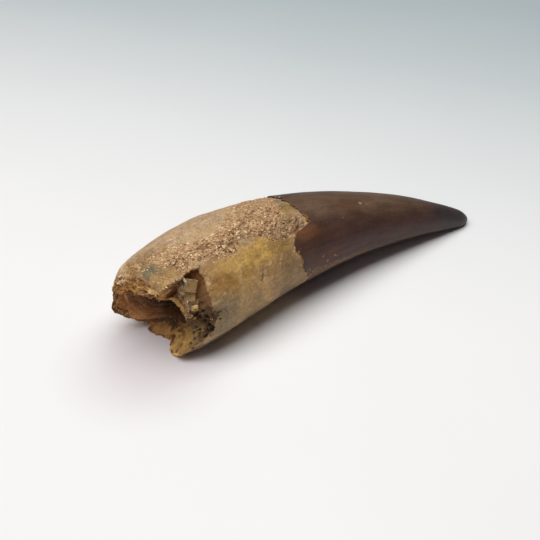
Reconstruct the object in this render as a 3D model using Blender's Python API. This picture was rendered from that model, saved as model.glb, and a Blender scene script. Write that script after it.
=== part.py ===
"""A fossil Spinosaurus tooth, lying on its side on a flat surface.

It is three pieces. The tooth grew as one: a hollow, broken root and an enamelled crown. A crust of
sandstone matrix is cemented over the root, and calcite crystals fill a notch in the broken end.

Blender's units are metres here, and the shape is worked out in millimetres. +X runs from the root
to the crown's tip, +Y to the tooth's convex side, and +Z is up. A place on the tooth is given by
its station, in mm along the centreline from the root's reference ring, and by its angle round the
centreline: 0 degrees is the convex side, 90 the top, 180 the concave side and 270 the underside.
"""

import bpy
import bmesh
import numpy as np
from mathutils import Matrix, Vector, noise

MM = 0.001

# The tooth's overall form. Headings and pitches are polynomials over the share of the length.
ARC_LENGTH = 121.0
ROOT_CENTRE = (-55.17, -3.45, 13.1)
HEADING = (11.5, -36.8, 14.5)
PITCH = (3.5, -30.6, 8.4)
HALF_WIDTH = (
    (-8, 16.0), (0, 17.0), (18, 18.3), (37, 16.8), (55, 14.1), (73, 11.2),
    (91, 8.3), (107, 5.3), (115, 3.7), (121, 2.5),
)
HEIGHT_RATIO = 0.86
TIP_DOME = 5.0

# The crown's enamel: its broken lower edge as (angle, station), its thickness, and its two keels.
ENAMEL_EDGE = (
    (20, 50), (40, 48.5), (55, 47.4), (67, 46.8), (83, 47), (94, 48.2), (106, 48.2), (115, 49),
    (126, 49.3), (131, 46.5), (136, 42.2), (145, 40.6), (162, 41.8), (178, 42.6), (186, 44), (200, 46),
    (220, 48), (240, 46.5), (260, 49), (280, 51), (300, 48), (320, 46.5), (340, 49), (360, 51),
)
ENAMEL_THICKNESS = 0.5
ENAMEL_CLIFF = 0.5
KEEL_ANGLES = (16, 196)
KEEL_HEIGHT = 0.45
KEEL_WIDTH = 9.0

# The root's broken end: the outer rim as (angle, station), and the pulp cavity's mouth as
# (angle, reach from the cavity's own centre) and (angle, station).
RIM = (
    (0, -3), (12, -2.4), (30, -1.7), (55, -1.8), (68, -2.6), (90, -3.3), (102, -3.4), (112, -3.2),
    (116, -3), (120, 9), (124, 9.2), (134, 8.2), (141, 7.6), (147, 7.2), (152, 6.9), (160, 6.6),
    (175, 6.9), (184, 6.4), (190, 5.4), (196, 4.6), (203, 3.2), (211, 1.4), (220, 0), (230, -1),
    (240, -2), (250, -2.5),
    (257, -2), (262, -0.5), (268, 1), (280, 1), (293, 0), (297, -0.3), (301, 1.5), (306, 0.8),
    (312, -0.8), (320, -1.6), (328, -4), (336, -5.2), (344, -5), (352, -4),
)
MOUTH = (
    (6, 13), (24, 12.2), (35, 9.9), (50, 7.6), (70, 6.6), (90, 7), (117, 10), (125, 11.2), (132, 11),
    (147, 10.3), (168, 9.8), (180, 11), (206, 9.4), (226, 7.6), (250, 6), (270, 5.4),
    (290, 6.2), (305, 8.2), (330, 10.6), (353, 12.6),
)
MOUTH_STATION = (
    (6, -3.2), (24, -2.6), (35, -1.4), (50, -0.6), (90, -0.8), (117, -0.6), (125, 0.4), (132, 1.5),
    (147, 2.2), (168, 3.4), (180, 4.6), (206, 5.6), (226, 6.2), (250, 6.2), (270, 6), (290, 5.4),
    (305, 3.6), (330, -1.6), (353, -3.2),
)
MOUTH_CENTRE = (1.5, -3.5)
CAVITY_STEPS = ((3, 0.93), (7, 0.8), (12, 0.62), (17, 0.4), (21, 0.18))
CAVITY_DEPTH = 22.5

# The broken face between them: how it bends, the ledges of the split upper wall as (share of the
# way in, station), and the lumps of the rest, which are deeper where the near wall is pitted.
FACE_SHARES = (0.08, 0.2, 0.32, 0.44, 0.56, 0.68, 0.84, 1.0)
FACE_BEND = 1.4
LEDGES = ((0, 0), (0.2, 0.9), (0.32, -0.5), (0.44, 0.8), (0.56, -0.7), (0.68, 1.1), (0.84, -0.4), (1, 0))
LEDGE_ANGLES = (8, 116)
FACE_LUMP_SIZE = 2.4
FACE_LUMP_HEIGHT = 0.6
PIT_ANGLES = (150, 214)
PIT_HEIGHT = 1.5

# Lumps of the weathered root, and the low swelling of its underside that the tooth rests on, as
# its middle and its reach each way in (angle, station), and its height.
ROOT_LUMP_SIZE = 9.0
ROOT_LUMP_HEIGHT = 0.28
SWELLING_AT = (302, 16)
SWELLING_REACH = (34, 22)
SWELLING_HEIGHT = 1.6

# The matrix crust: its two long edges as (station, angle), and its thickness over and in the root.
CRUST_TOP_EDGE = (
    (2, 70), (5, 71), (8, 72), (11, 81), (13, 85), (15, 92), (18, 96), (20, 95), (23, 91),
    (26, 86), (29, 79), (32, 76), (35, 66), (38, 52), (41, 43), (44, 40), (46, 42),
)
CRUST_FRONT_EDGE = (
    (2, 86), (4, 97), (6, 105), (8, 108), (10, 112), (13, 113), (15, 118), (18, 123), (21, 121),
    (24, 118), (27, 122), (32, 126), (35, 129), (37, 131), (39, 126), (41, 117), (43, 102), (46, 72),
)
CRUST_RISE = 0.5
CRUST_BED = 1.0
CRUST_LUMP_SIZE = 3.2
CRUST_LUMP_HEIGHT = 0.4

# The calcite: each rhomb's station, angle, share of the way out, (length, width, height), and
# where one of its faces points: a heading, a height and a turn about that.
CRYSTALS = (
    (5.2, 121.3, 0.67, (3.4, 3.4, 3.6), (228, 50, 38)),
    (5.2, 129.5, 0.81, (3.2, 3.6, 3.0), (206, 24, -14)),
    (4.8, 129.5, 0.54, (3.0, 3.8, 3.0), (228, 44, 24)),
    (4.8, 142.2, 0.67, (3.2, 3.6, 3.0), (236, 34, 10)),
    (4.6, 144.1, 0.46, (2.8, 3.6, 2.8), (214, 26, -20)),
    (4.2, 162, 0.43, (2.6, 3.2, 2.6), (222, 38, 12)),
    (4.4, 156.2, 0.6, (2.8, 3.2, 2.8), (200, 18, -8)),
    (4.0, 181, 0.42, (2.4, 3.4, 2.4), (212, 26, 30)),
)
CALCITE_LEAN = 0.27

# How finely the tooth is divided, and the clearance between two pieces that meet.
COLUMNS = 72
ROOT_ROWS = 13
CROWN_ROWS = 14
CRUST_ROWS = 24
CRUST_COLUMNS = 12
GAP = 0.3

MATERIALS = {
    "tooth": ((0.10, 0.055, 0.035, 1.0), 0.42),
    "matrix_crust": ((0.41, 0.25, 0.14, 1.0), 0.95),
    "calcite_crystals": ((0.55, 0.42, 0.30, 1.0), 0.12),
}


def clear_scene():
    for old in list(bpy.data.objects):
        bpy.data.objects.remove(old)


def smooth(stations, x):
    """A cubic curve through (x, y) stations, with slopes taken from their neighbours."""
    xs, ys = np.array(stations, float).T
    slopes = np.gradient(ys, xs)
    i = np.clip(np.searchsorted(xs, x) - 1, 0, len(xs) - 2)
    span = xs[i + 1] - xs[i]
    t = (x - xs[i]) / span
    start = (1 + 2 * t) * (1 - t) ** 2 * ys[i] + t * (1 - t) ** 2 * span * slopes[i]
    end = t * t * (3 - 2 * t) * ys[i + 1] + t * t * (t - 1) * span * slopes[i + 1]
    return start + end


def around(profile, angle):
    """A value given at some angles, read at any angle of the full turn."""
    angles, values = np.array(profile, float).T
    return np.interp(angle, angles, values, period=360)


def lumps(points, size):
    """Smooth noise from -1 to 1 at each point, with lumps about that size."""
    flat = points.reshape(-1, 3) / size
    return np.array([noise.noise(Vector(p)) for p in flat]).reshape(points.shape[:-1])


def directions(station):
    """Unit vectors along the centreline, to its convex side and upwards, at each station."""
    share = np.clip(station / ARC_LENGTH, 0, 1)
    heading = np.radians(np.polyval(HEADING, share))
    pitch = np.radians(np.polyval(PITCH, share))
    level = np.zeros_like(heading)
    along = np.stack(
        [np.cos(pitch) * np.cos(heading), np.cos(pitch) * np.sin(heading), np.sin(pitch)], -1
    )
    side = np.stack([-np.sin(heading), np.cos(heading), level], -1)
    return along, side, np.cross(along, side)


def centre(station):
    """The centreline's point at each station; before the reference ring it runs on straight."""
    track = np.linspace(0, ARC_LENGTH, 489)
    along = directions(track)[0]
    steps = (along[1:] + along[:-1]) / 2 * (track[1] - track[0])
    points = np.vstack([np.zeros(3), np.cumsum(steps, axis=0)]) + ROOT_CENTRE
    on_track = np.stack([np.interp(station, track, points[:, k]) for k in range(3)], -1)
    return on_track + np.minimum(station, 0)[..., None] * along[0]


def in_section(station, to_side, upwards):
    """The point at an offset in the section across the centreline, never below the surface."""
    _, side, up = directions(station)
    point = centre(station) + side * to_side[..., None] + up * upwards[..., None]
    point[..., 2] = np.maximum(point[..., 2], 0)
    return point


def half_width(station):
    dome = np.clip((station - ARC_LENGTH + TIP_DOME) / TIP_DOME, 0, 1)
    return smooth(HALF_WIDTH, station) * np.sqrt(1 - dome**2)


def outline(station, angle, lift):
    """Offsets, to the side and upwards, of a place on the outer surface raised by lift."""
    reach = half_width(station)
    turn = np.radians(angle)
    return (
        (reach + lift) * np.cos(turn),
        (reach * HEIGHT_RATIO + lift) * np.sin(turn),
    )


def relief(station, angle):
    """How far the surface stands off the plain form: the enamel, its keels and weathered lumps."""
    plain = in_section(station, *outline(station, angle, 0.0))
    past_edge = station - around(ENAMEL_EDGE, angle)
    enamel = ENAMEL_THICKNESS * (np.clip(past_edge / ENAMEL_CLIFF, -1, 1)) / 2
    crown = np.clip(past_edge / 6, 0, 1) * np.clip((ARC_LENGTH - station) / 25, 0, 1)
    keel = sum(
        np.exp(-(((angle - at + 180) % 360 - 180) / KEEL_WIDTH) ** 2) for at in KEEL_ANGLES
    )
    root = np.clip(-past_edge / 4, 0, 1)
    weathered = root * ROOT_LUMP_HEIGHT * lumps(plain, ROOT_LUMP_SIZE)
    across = ((angle - SWELLING_AT[0] + 180) % 360 - 180) / SWELLING_REACH[0]
    along = (station - SWELLING_AT[1]) / SWELLING_REACH[1]
    swelling = SWELLING_HEIGHT * np.clip(1 - across**2 - along**2, 0, 1) ** 2
    return enamel + crown * KEEL_HEIGHT * keel + weathered + swelling


def skin(station, angle, lift=0.0):
    return in_section(station, *outline(station, angle, relief(station, angle) + lift))


def outer_rows(angle):
    """Rings of points from the broken rim, past the enamel's edge, to just short of the tip."""
    rim = around(RIM, angle)
    edge = around(ENAMEL_EDGE, angle)
    root_shares = np.linspace(0, 1, ROOT_ROWS) ** 1.15
    crown_shares = np.linspace(0, 1, CROWN_ROWS)
    dome_start = ARC_LENGTH - TIP_DOME
    dome_turns = np.radians(np.linspace(0, 90, 6)[1:-1])
    stations = [rim + share * (edge - ENAMEL_CLIFF - rim) for share in root_shares]
    stations += [edge + ENAMEL_CLIFF + share * (dome_start - edge - ENAMEL_CLIFF) for share in crown_shares]
    stations += [np.full_like(angle, dome_start + TIP_DOME * np.sin(turn)) for turn in dome_turns]
    return [skin(station, angle) for station in stations]


def face_rows(angle):
    """Rings over the broken face, from just inside the outer rim to the pulp cavity's mouth."""
    rim = around(RIM, angle)
    mouth_station = around(MOUTH_STATION, angle)
    out_side, out_up = outline(rim, angle, relief(rim, angle))
    reach = around(MOUTH, angle)
    in_side = MOUTH_CENTRE[0] + reach * np.cos(np.radians(angle))
    in_up = MOUTH_CENTRE[1] + reach * np.sin(np.radians(angle))
    split = (angle > LEDGE_ANGLES[0]) & (angle < LEDGE_ANGLES[1])
    pitted = (angle > PIT_ANGLES[0]) & (angle < PIT_ANGLES[1])
    rows = []
    for share in FACE_SHARES:
        station = rim + (mouth_station - rim) * share**FACE_BEND
        to_side = out_side + (in_side - out_side) * share
        upwards = out_up + (in_up - out_up) * share
        lump = lumps(in_section(station, to_side, upwards), FACE_LUMP_SIZE)
        step = np.interp(share + 0.06 * lump, *np.array(LEDGES).T) * split
        height = np.where(pitted & (share < 0.9), PIT_HEIGHT, FACE_LUMP_HEIGHT)
        rows.append(in_section(station + step + height * lump, to_side, upwards))
    return rows


def cavity_rows(angle):
    """Rings down the pulp cavity, which narrows to a blind end inside the root."""
    mouth_station = around(MOUTH_STATION, angle)
    rows = []
    for depth, scale in CAVITY_STEPS:
        reach = around(MOUTH, angle) * scale
        to_side = MOUTH_CENTRE[0] * scale + reach * np.cos(np.radians(angle))
        upwards = MOUTH_CENTRE[1] * scale + reach * np.sin(np.radians(angle))
        rows.append(in_section(mouth_station * scale + depth, to_side, upwards))
    return rows


def solid_from_rings(name, rings, start, end):
    """A closed mesh: a point, rings of points one after another, and a point that closes it."""
    mesh = bmesh.new()
    first = mesh.verts.new(start)
    last = mesh.verts.new(end)
    loops = [[mesh.verts.new(point) for point in ring] for ring in rings]
    count = len(loops[0])
    for k in range(count):
        after = (k + 1) % count
        mesh.faces.new((first, loops[0][after], loops[0][k]))
        mesh.faces.new((last, loops[-1][k], loops[-1][after]))
        for near, far in zip(loops, loops[1:]):
            mesh.faces.new((near[k], near[after], far[after], far[k]))
    return finish_mesh(name, mesh)


def finish_mesh(name, mesh):
    """Scales a mesh from millimetres, turns its faces outwards and links it as a named object."""
    bmesh.ops.scale(mesh, vec=(MM, MM, MM), verts=mesh.verts)
    bmesh.ops.triangulate(mesh, faces=mesh.faces)
    bmesh.ops.recalc_face_normals(mesh, faces=mesh.faces)
    data = bpy.data.meshes.new(name)
    mesh.to_mesh(data)
    mesh.free()
    made = bpy.data.objects.new(name, data)
    bpy.context.scene.collection.objects.link(made)
    return made


def paint(piece, smooth_shaded):
    colour, roughness = MATERIALS[piece.name]
    material = bpy.data.materials.new(piece.name)
    material.use_nodes = True
    shader = material.node_tree.nodes["Principled BSDF"]
    shader.inputs["Base Color"].default_value = colour
    shader.inputs["Roughness"].default_value = roughness
    shader.inputs["Metallic"].default_value = 0.0
    piece.data.materials.append(material)
    if smooth_shaded:
        piece.data.shade_smooth()
        piece.data.set_sharp_from_angle(angle=np.radians(38))


def helper(piece):
    """Marks an object that only shapes another one."""
    piece.hide_render = True
    piece.display_type = "WIRE"
    return piece


def combine(piece, tool, operation):
    modifier = piece.modifiers.new(f"{operation.lower()} {tool.name}", "BOOLEAN")
    modifier.operation = operation
    modifier.solver = "EXACT"
    modifier.object = tool


def make_tooth():
    angle = np.arange(COLUMNS) * 360.0 / COLUMNS
    outside = outer_rows(angle)
    inside = face_rows(angle) + cavity_rows(angle)
    tip = centre(np.array([ARC_LENGTH]))[0]
    blind_end = centre(np.array([CAVITY_DEPTH]))[0]
    return solid_from_rings("tooth", outside[::-1] + inside, tip, blind_end)


def make_crust(name, margin, rise, lumpy):
    """The matrix crust as a slab that follows the root, or its bed when a margin is given."""
    first, last = CRUST_TOP_EDGE[0][0] - margin, CRUST_TOP_EDGE[-1][0] + margin
    station = np.linspace(first, last, CRUST_ROWS)
    margin_angle = np.degrees(margin / half_width(station))
    low = smooth(CRUST_TOP_EDGE, station) - margin_angle
    high = smooth(CRUST_FRONT_EDGE, station) + margin_angle
    share = np.linspace(0, 1, CRUST_COLUMNS)
    station, share = np.meshgrid(station, share, indexing="ij")
    angle = low[:, None] + (high - low)[:, None] * share
    plain = in_section(station, *outline(station, angle, 0.0))
    from_ends = np.minimum(station - first, last - station) / 5
    from_edges = np.minimum(share, 1 - share) * (high - low)[:, None] / 14
    inner = np.clip(np.minimum(from_ends, from_edges), 0, 1)
    top_lift = rise * (0.25 + 0.75 * inner) + lumpy * inner * lumps(plain, CRUST_LUMP_SIZE)
    top = in_section(station, *outline(station, angle, top_lift))
    bed = in_section(station, *outline(station, angle, -CRUST_BED - margin))
    return finish_mesh(name, slab(top, bed))


def slab(top, bed):
    """A closed mesh between two grids of points, with walls along all four edges."""
    mesh = bmesh.new()
    rows, columns = top.shape[:2]
    upper = [[mesh.verts.new(point) for point in row] for row in top]
    lower = [[mesh.verts.new(point) for point in row] for row in bed]
    for i in range(rows - 1):
        for j in range(columns - 1):
            cell = ((i, j), (i + 1, j), (i + 1, j + 1), (i, j + 1))
            mesh.faces.new([upper[a][b] for a, b in cell])
            mesh.faces.new([lower[a][b] for a, b in reversed(cell)])
    border = [(i, 0) for i in range(rows)]
    border += [(rows - 1, j) for j in range(1, columns)]
    border += [(i, columns - 1) for i in range(rows - 2, -1, -1)]
    border += [(0, j) for j in range(columns - 2, 0, -1)]
    for (a, b), (c, d) in zip(border, border[1:] + border[:1]):
        mesh.faces.new((upper[a][b], lower[a][b], lower[c][d], upper[c][d]))
    return mesh


def make_rhomb(name, crystal, margin):
    """One cleavage rhomb of calcite: a box that leans over, turned and set in the notch."""
    station, angle, share_out, size, facing = crystal
    where = np.array([station]), np.array([angle])
    to_side, upwards = outline(*where, 0.0)
    place = in_section(where[0], to_side * share_out, upwards * share_out)[0]
    mesh = bmesh.new()
    bmesh.ops.create_cube(mesh, size=1.0)
    bmesh.ops.scale(mesh, vec=[edge + 2 * margin for edge in size], verts=mesh.verts)
    lean = Matrix.Identity(4)
    lean[0][2] = CALCITE_LEAN
    lean[1][2] = CALCITE_LEAN
    heading, height, roll = np.radians(facing)
    level = np.cos(height)
    normal = Vector((np.sin(heading) * level, np.cos(heading) * level, np.sin(height)))
    spin = normal.to_track_quat("Z", "Y").to_matrix().to_4x4() @ Matrix.Rotation(roll, 4, "Z")
    bmesh.ops.transform(mesh, matrix=Matrix.Translation(place) @ spin @ lean, verts=mesh.verts)
    return finish_mesh(name, mesh)


def make_crystals(name, margin):
    """The rhombs grown together, as one solid."""
    cluster = make_rhomb(name, CRYSTALS[0], margin)
    for number, crystal in enumerate(CRYSTALS[1:], start=2):
        grown = helper(make_rhomb(f"{name}_{number}", crystal, margin))
        combine(cluster, grown, "UNION")
    return cluster


def build():
    clear_scene()
    tooth = make_tooth()
    crust = make_crust("matrix_crust", 0.0, CRUST_RISE, CRUST_LUMP_HEIGHT)
    crystals = make_crystals("calcite_crystals", 0.0)
    crust_bed = helper(make_crust("crust_bed", GAP, 4 * CRUST_RISE, 0.0))
    crystal_sockets = helper(make_crystals("crystal_sockets", GAP))
    combine(tooth, crust_bed, "DIFFERENCE")
    combine(crystals, crust_bed, "DIFFERENCE")
    combine(tooth, crystal_sockets, "DIFFERENCE")
    paint(tooth, smooth_shaded=True)
    paint(crust, smooth_shaded=True)
    paint(crystals, smooth_shaded=False)


build()
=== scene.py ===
import bpy
import numpy as np
from mathutils import Matrix, Quaternion, Vector, noise
from mathutils.bvhtree import BVHTree


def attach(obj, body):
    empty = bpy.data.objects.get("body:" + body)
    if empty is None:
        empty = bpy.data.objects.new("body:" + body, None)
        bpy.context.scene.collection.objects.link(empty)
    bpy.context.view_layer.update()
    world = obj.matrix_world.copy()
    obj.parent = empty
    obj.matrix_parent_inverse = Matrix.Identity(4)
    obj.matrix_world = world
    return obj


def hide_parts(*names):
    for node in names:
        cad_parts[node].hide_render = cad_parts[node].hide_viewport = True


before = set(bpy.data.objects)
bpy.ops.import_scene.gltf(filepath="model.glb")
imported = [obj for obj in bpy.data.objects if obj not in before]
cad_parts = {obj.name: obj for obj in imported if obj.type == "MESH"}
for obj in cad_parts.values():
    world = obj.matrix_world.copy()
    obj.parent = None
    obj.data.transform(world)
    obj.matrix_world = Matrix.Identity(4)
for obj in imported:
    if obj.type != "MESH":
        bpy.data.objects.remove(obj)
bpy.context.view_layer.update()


# ================================================================ The root
# The lower half of the tooth: dentine, hollow for the pulp, turned to a hard brown mineral in the
# ground. The outside is weathered and worn smooth. The end is snapped off, and there the thick
# walls have split along their growth layers round the mouth of the pulp cavity.

# All sizes are in mm. A place on the tooth is a station along its centreline, from the root's
# reference ring, and an angle round it: 0 is the convex side, 90 the top, 180 the concave side.
MM = 0.001

# The overall form. Heading and pitch are polynomials in degrees over the share of the length, the
# half width goes by station, and the last few mm are a dome.
ARC_LENGTH = 121.0
ROOT_CENTRE = np.array([-55.17, -3.45, 13.1])
HEADING = (11.5, -36.8, 14.5)
PITCH = (3.5, -30.6, 8.4)
HALF_WIDTH = (
    (-8, 16.0), (0, 17.0), (18, 18.3), (37, 16.8), (55, 14.1), (73, 11.2),
    (91, 8.3), (107, 5.3), (115, 3.7), (121, 2.5),
)
HEIGHT_RATIO = 0.86
TIP_DOME = 5.0
TRACK_POINTS = 489

# Where the enamel ends and where the root is snapped off, both as (angle, station).
ENAMEL_EDGE = (
    (20, 50), (40, 48.5), (55, 47.4), (67, 46.8), (83, 47), (94, 48.2), (106, 48.2), (115, 49),
    (126, 49.3), (129, 48.4), (132, 46), (134.5, 43.2), (138, 41.6), (144, 40.6), (150, 40.8),
    (156, 41), (162, 41.8), (170, 42.2), (178, 42.6), (186, 44), (200, 46),
    (220, 48), (240, 46.5), (260, 49), (280, 51), (300, 48), (320, 46.5), (340, 49), (360, 51),
)
ENAMEL_THICKNESS = 0.5
RIM = (
    (0, -3), (12, -2.4), (30, -1.7), (55, -1.8), (68, -2.6), (90, -3.3), (102, -3.4), (112, -3.2),
    (116.2, -3), (117.2, 0.5), (118.3, 5.5), (119.4, 9.2), (121.5, 9.5), (128, 8.8), (134, 8.2),
    (141, 7.6), (147, 7.2), (152, 6.9), (160, 6.6), (168, 6.8), (175, 6.9),
    (184, 6.4), (190, 5.4), (196, 4.6), (203, 3.2), (211, 1.4), (220, 0), (230, -1), (240, -2),
    (250, -2.5), (257, -2), (262, -0.5), (268, 1), (280, 1), (293, 0), (297, -0.3), (301, 1.5), (306, 0.8),
    (312, -0.8), (320, -1.6), (328, -4), (336, -5.2), (344, -5), (352, -4),
)
# The mouth of the pulp cavity: its reach from its own centre and its station, both by angle; and
# how the cavity narrows with depth.
MOUTH = (
    (6, 13), (24, 12.2), (35, 9.9), (50, 7.6), (70, 6.6), (90, 7), (117, 10), (125, 11.2), (132, 11),
    (147, 10.3), (168, 9.8), (180, 11), (206, 9.4), (226, 7.6), (250, 6), (270, 5.4),
    (290, 6.2), (305, 8.2), (330, 10.6), (353, 12.6),
)
MOUTH_STATION = (
    (6, -3.2), (24, -2.6), (35, -1.4), (50, -0.6), (90, -0.8), (117, -0.6), (125, 0.4), (132, 1.5),
    (147, 2.2), (168, 3.4), (180, 4.6), (206, 5.6), (226, 6.2), (250, 6.2), (270, 6), (290, 5.4),
    (305, 3.6), (330, -1.6), (353, -3.2),
)
MOUTH_CENTRE = (1.5, -3.5)
CAVITY_DEPTH = 22.5
CAVITY_TAPER = ((0, 1), (3, 0.93), (7, 0.8), (12, 0.62), (17, 0.4), (21, 0.18), (22.5, 0.02))
FACE_BEND = 1.4

# A low swelling of the underside, which the tooth rests on, as (angle, station) and its reach.
SWELLING_AT = (302, 16)
SWELLING_REACH = (34, 22)
SWELLING_HEIGHT = 1.6

# How finely the root is divided.
ROOT_COLUMNS = 440
# Angles of some of the columns, which crowd together at the notch's steep upper wall.
COLUMN_ANGLES = ((0, 0), (120, 114.5), (180, 121.5), (440, 360))
NOTCH_BENDS = ((2.6, 2.6), (0.9, 1.6), (0.4, 0.8))
ROOT_ROWS = 124
FACE_ROWS = 56
CAVITY_ROWS = 44
UNDER_ENAMEL = 4.0

# Relief, as (size, height) layers of noise in mm, and the parts of the break that it differs on.
WEATHERED_LUMPS = ((9.0, 0.28), (2.6, 0.10), (0.9, 0.035))
PITS = (1.5, 0.5)
EDGE_LUMPS = ((2.2, 0.5), (0.9, 0.35))
SHARD_SPACING = 2.6
RIM_WEAR = 0.7
RIM_WEAR_REACH = 2.6
RIM_SPLINTERS = ((2.4, 0.4), (0.8, 0.25))
LAYER_COUNT = 8
LAYER_STEP = 1.15
LAYER_RUN = 4.5
LAYERED_ANGLES = (-14, 118)
BLOCK_ANGLES = (119, 148)
PITTED_ANGLES = (152, 216)
PIT_SPACING = 1.9
PIT_DEPTH = 1.6
FACE_LUMPS = ((2.4, 0.35), (0.9, 0.2), (0.4, 0.08))
# Swellings of the broken face, as (angle, share of the way in to the cavity), their radius in mm
# and how far they stand out; and its sharp ridges, as such points, a half width and a height.
SWELLINGS = (
    ((38, 0.3), 3.2, 0.8), ((58, 0.15), 2.6, 0.7), ((30, 0.66), 2.4, 0.9), ((62, 0.6), 2.8, 0.9),
    ((106, 0.32), 1.2, 1.0), ((347, 0.35), 2.2, 0.7), ((246, 0.15), 2.2, 0.8), ((85, 0.3), 2.2, 0.7),
    ((255, 0.45), 1.3, -0.9), ((262, 0.35), 1.0, -0.8), ((27, 0.4), 0.8, -0.7), ((46, 0.42), 0.8, -0.7),
    ((272, 0.55), 1.0, -0.7), ((242, 0.42), 0.9, -0.6),
)
RIDGES = (
    (((184, 0.95), (200, 0.6), (214, 0.38), (228, 0.12)), 4.5, 2.6),
    (((285, 0.1), (268, 0.5), (250, 0.85)), 1.6, 0.8),
    (((12, 0.85), (40, 0.9), (75, 0.85)), 0.9, 0.7),
)
CAVITY_LUMPS = ((4.0, 0.5), (1.3, 0.2), (0.5, 0.1))

# Stains of the outside, and painted shade low on its concave side: the middle as (station, angle), the
# reach each way, the colour and how strong it is. The first ones lie under the later ones.
TAN = "#b99a79"
STAINS_AND_SHADE = (
    ((22, 262), (34, 50), "#8d7150", 0.9),
    ((20, 172), (34, 54), "#b08a55", 1.0),
    ((14, 126), (8, 9), "#946c3c", 0.9),
    ((15, 142), (8, 17), "#91672f", 0.9),
    ((28, 136), (13, 12), "#c0974f", 1.0),
    ((18, 129), (6, 6), "#b08848", 0.9),
    ((27, 172), (10, 17), "#b9915d", 0.8),
    ((9.5, 180), (7, 24), "#937a55", 1.0),
    ((10, 198), (5, 10), "#897353", 0.6),
    ((20, 192), (6, 12), "#a0814f", 0.8),
    ((38, 168), (5, 22), "#8f6d47", 0.8),
    # These three darken the lower concave side: painted shade where the root turns under.
    ((26, 216), (30, 12), "#6d5335", 0.85),
    ((9, 220), (12, 13), "#5e4c3a", 0.85),
    ((40, 200), (8, 12), "#6c5540", 0.7),
    ((18, 88), (9, 7), "#bf9f72", 0.6),
    ((-0.8, 106), (4.5, 13), "#96703d", 0.95),
    ((2, 90), (6.5, 26), "#87653f", 0.9),
    ((1.0, 94), (3.6, 10), "#806a4c", 0.95),
    ((-0.5, 91), (2.2, 6), "#676049", 0.9),
    ((0.6, 114), (1.6, 3), "#b98d58", 0.8),
    ((-2.6, 108), (0.9, 2.6), "#4c2018", 0.9),
    ((-2.2, 64), (2.4, 18), "#9c7745", 0.85),
    ((-1.4, 46), (1.6, 10), "#cfae86", 0.8),
    ((43.5, 120), (5, 16), "#9c7a57", 1.0),
    ((48, 116), (3, 10), "#a08261", 0.8),
    ((46, 98), (3.5, 9), "#82643a", 0.95),
    ((43, 132), (2.5, 4), "#8a5f42", 0.9),
    ((39.5, 116), (2.6, 6), "#a8977c", 0.7),
    ((36, 137), (4, 8), "#93703f", 0.8),
    ((45, 82), (4, 8), "#86705a", 0.8),
)
# Pale mineral veins and crumbs, as (station, angle) points, a width in mm and a strength, and
# dark cracks.
VEINS = (
    (((20.5, 140), (18.6, 147), (17.8, 155), (17, 164), (16.2, 172)), 0.8, 0.35),
    (((19, 146), (18.0, 152)), 0.5, 0.5),
    (((27.6, 158), (26.4, 162), (25.4, 167)), 0.3, 0.7),
    (((10, 156), (11.5, 155)), 0.3, 0.6),
    (((30.1, 152), (29.6, 155)), 0.4, 0.8),
    (((8.8, 137), (9.2, 140)), 0.35, 0.8),
    (((36.2, 146), (34.4, 152), (33.0, 160)), 0.3, 0.6),
    (((39.5, 152), (40.3, 158), (40.8, 163)), 0.35, 0.7),
    (((41, 172), (41.8, 176)), 0.3, 0.6),
    (((38.6, 118), (38.2, 124), (38.8, 130)), 0.4, 0.6),
    (((41.5, 100), (44.5, 112), (47.5, 117)), 0.3, 0.5),
    (((41, 103), (42.4, 108), (43.6, 113)), 0.4, 0.8),
    (((37.2, 110), (37.6, 116), (37.4, 122)), 0.6, 0.6),
    (((39.6, 121), (39.8, 128), (39.4, 134)), 0.35, 0.6),
    (((40.2, 143), (40.5, 149), (41, 154)), 0.3, 0.7),
)
CRACKS = (
    (((26.2, 159), (25.2, 166)), 0.22, 0.8),
    (((11.2, 92), (13, 95)), 0.5, 0.7),
    (((36, 126), (37.4, 132), (39.4, 136)), 0.25, 0.6),
    (((38.3, 115), (38.6, 121), (38.5, 129)), 0.45, 0.9),
    (((39.8, 113), (40.4, 119)), 0.3, 0.7),
    (((44.5, 128), (46, 130.5), (48, 129.5)), 0.3, 0.6),
    (((41, 118), (42.5, 124), (43.6, 129)), 0.22, 0.5),
)

# The broken face's colour round the rim, as (angle, colour), and the cavity's.
FACE_COLOURS = (
    (0, "#b88246"), (30, "#d79c55"), (70, "#bd8948"), (112, "#c08b45"), (117, "#8a5a2c"),
    (120, "#683c18"), (132, "#6b431c"), (142, "#7d5833"), (152, "#7d5a32"), (180, "#7a5f38"),
    (212, "#8e7043"), (232, "#ad874a"), (262, "#b48648"), (285, "#a07238"), (310, "#96663a"),
    (340, "#8d5f36"),
)
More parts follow.
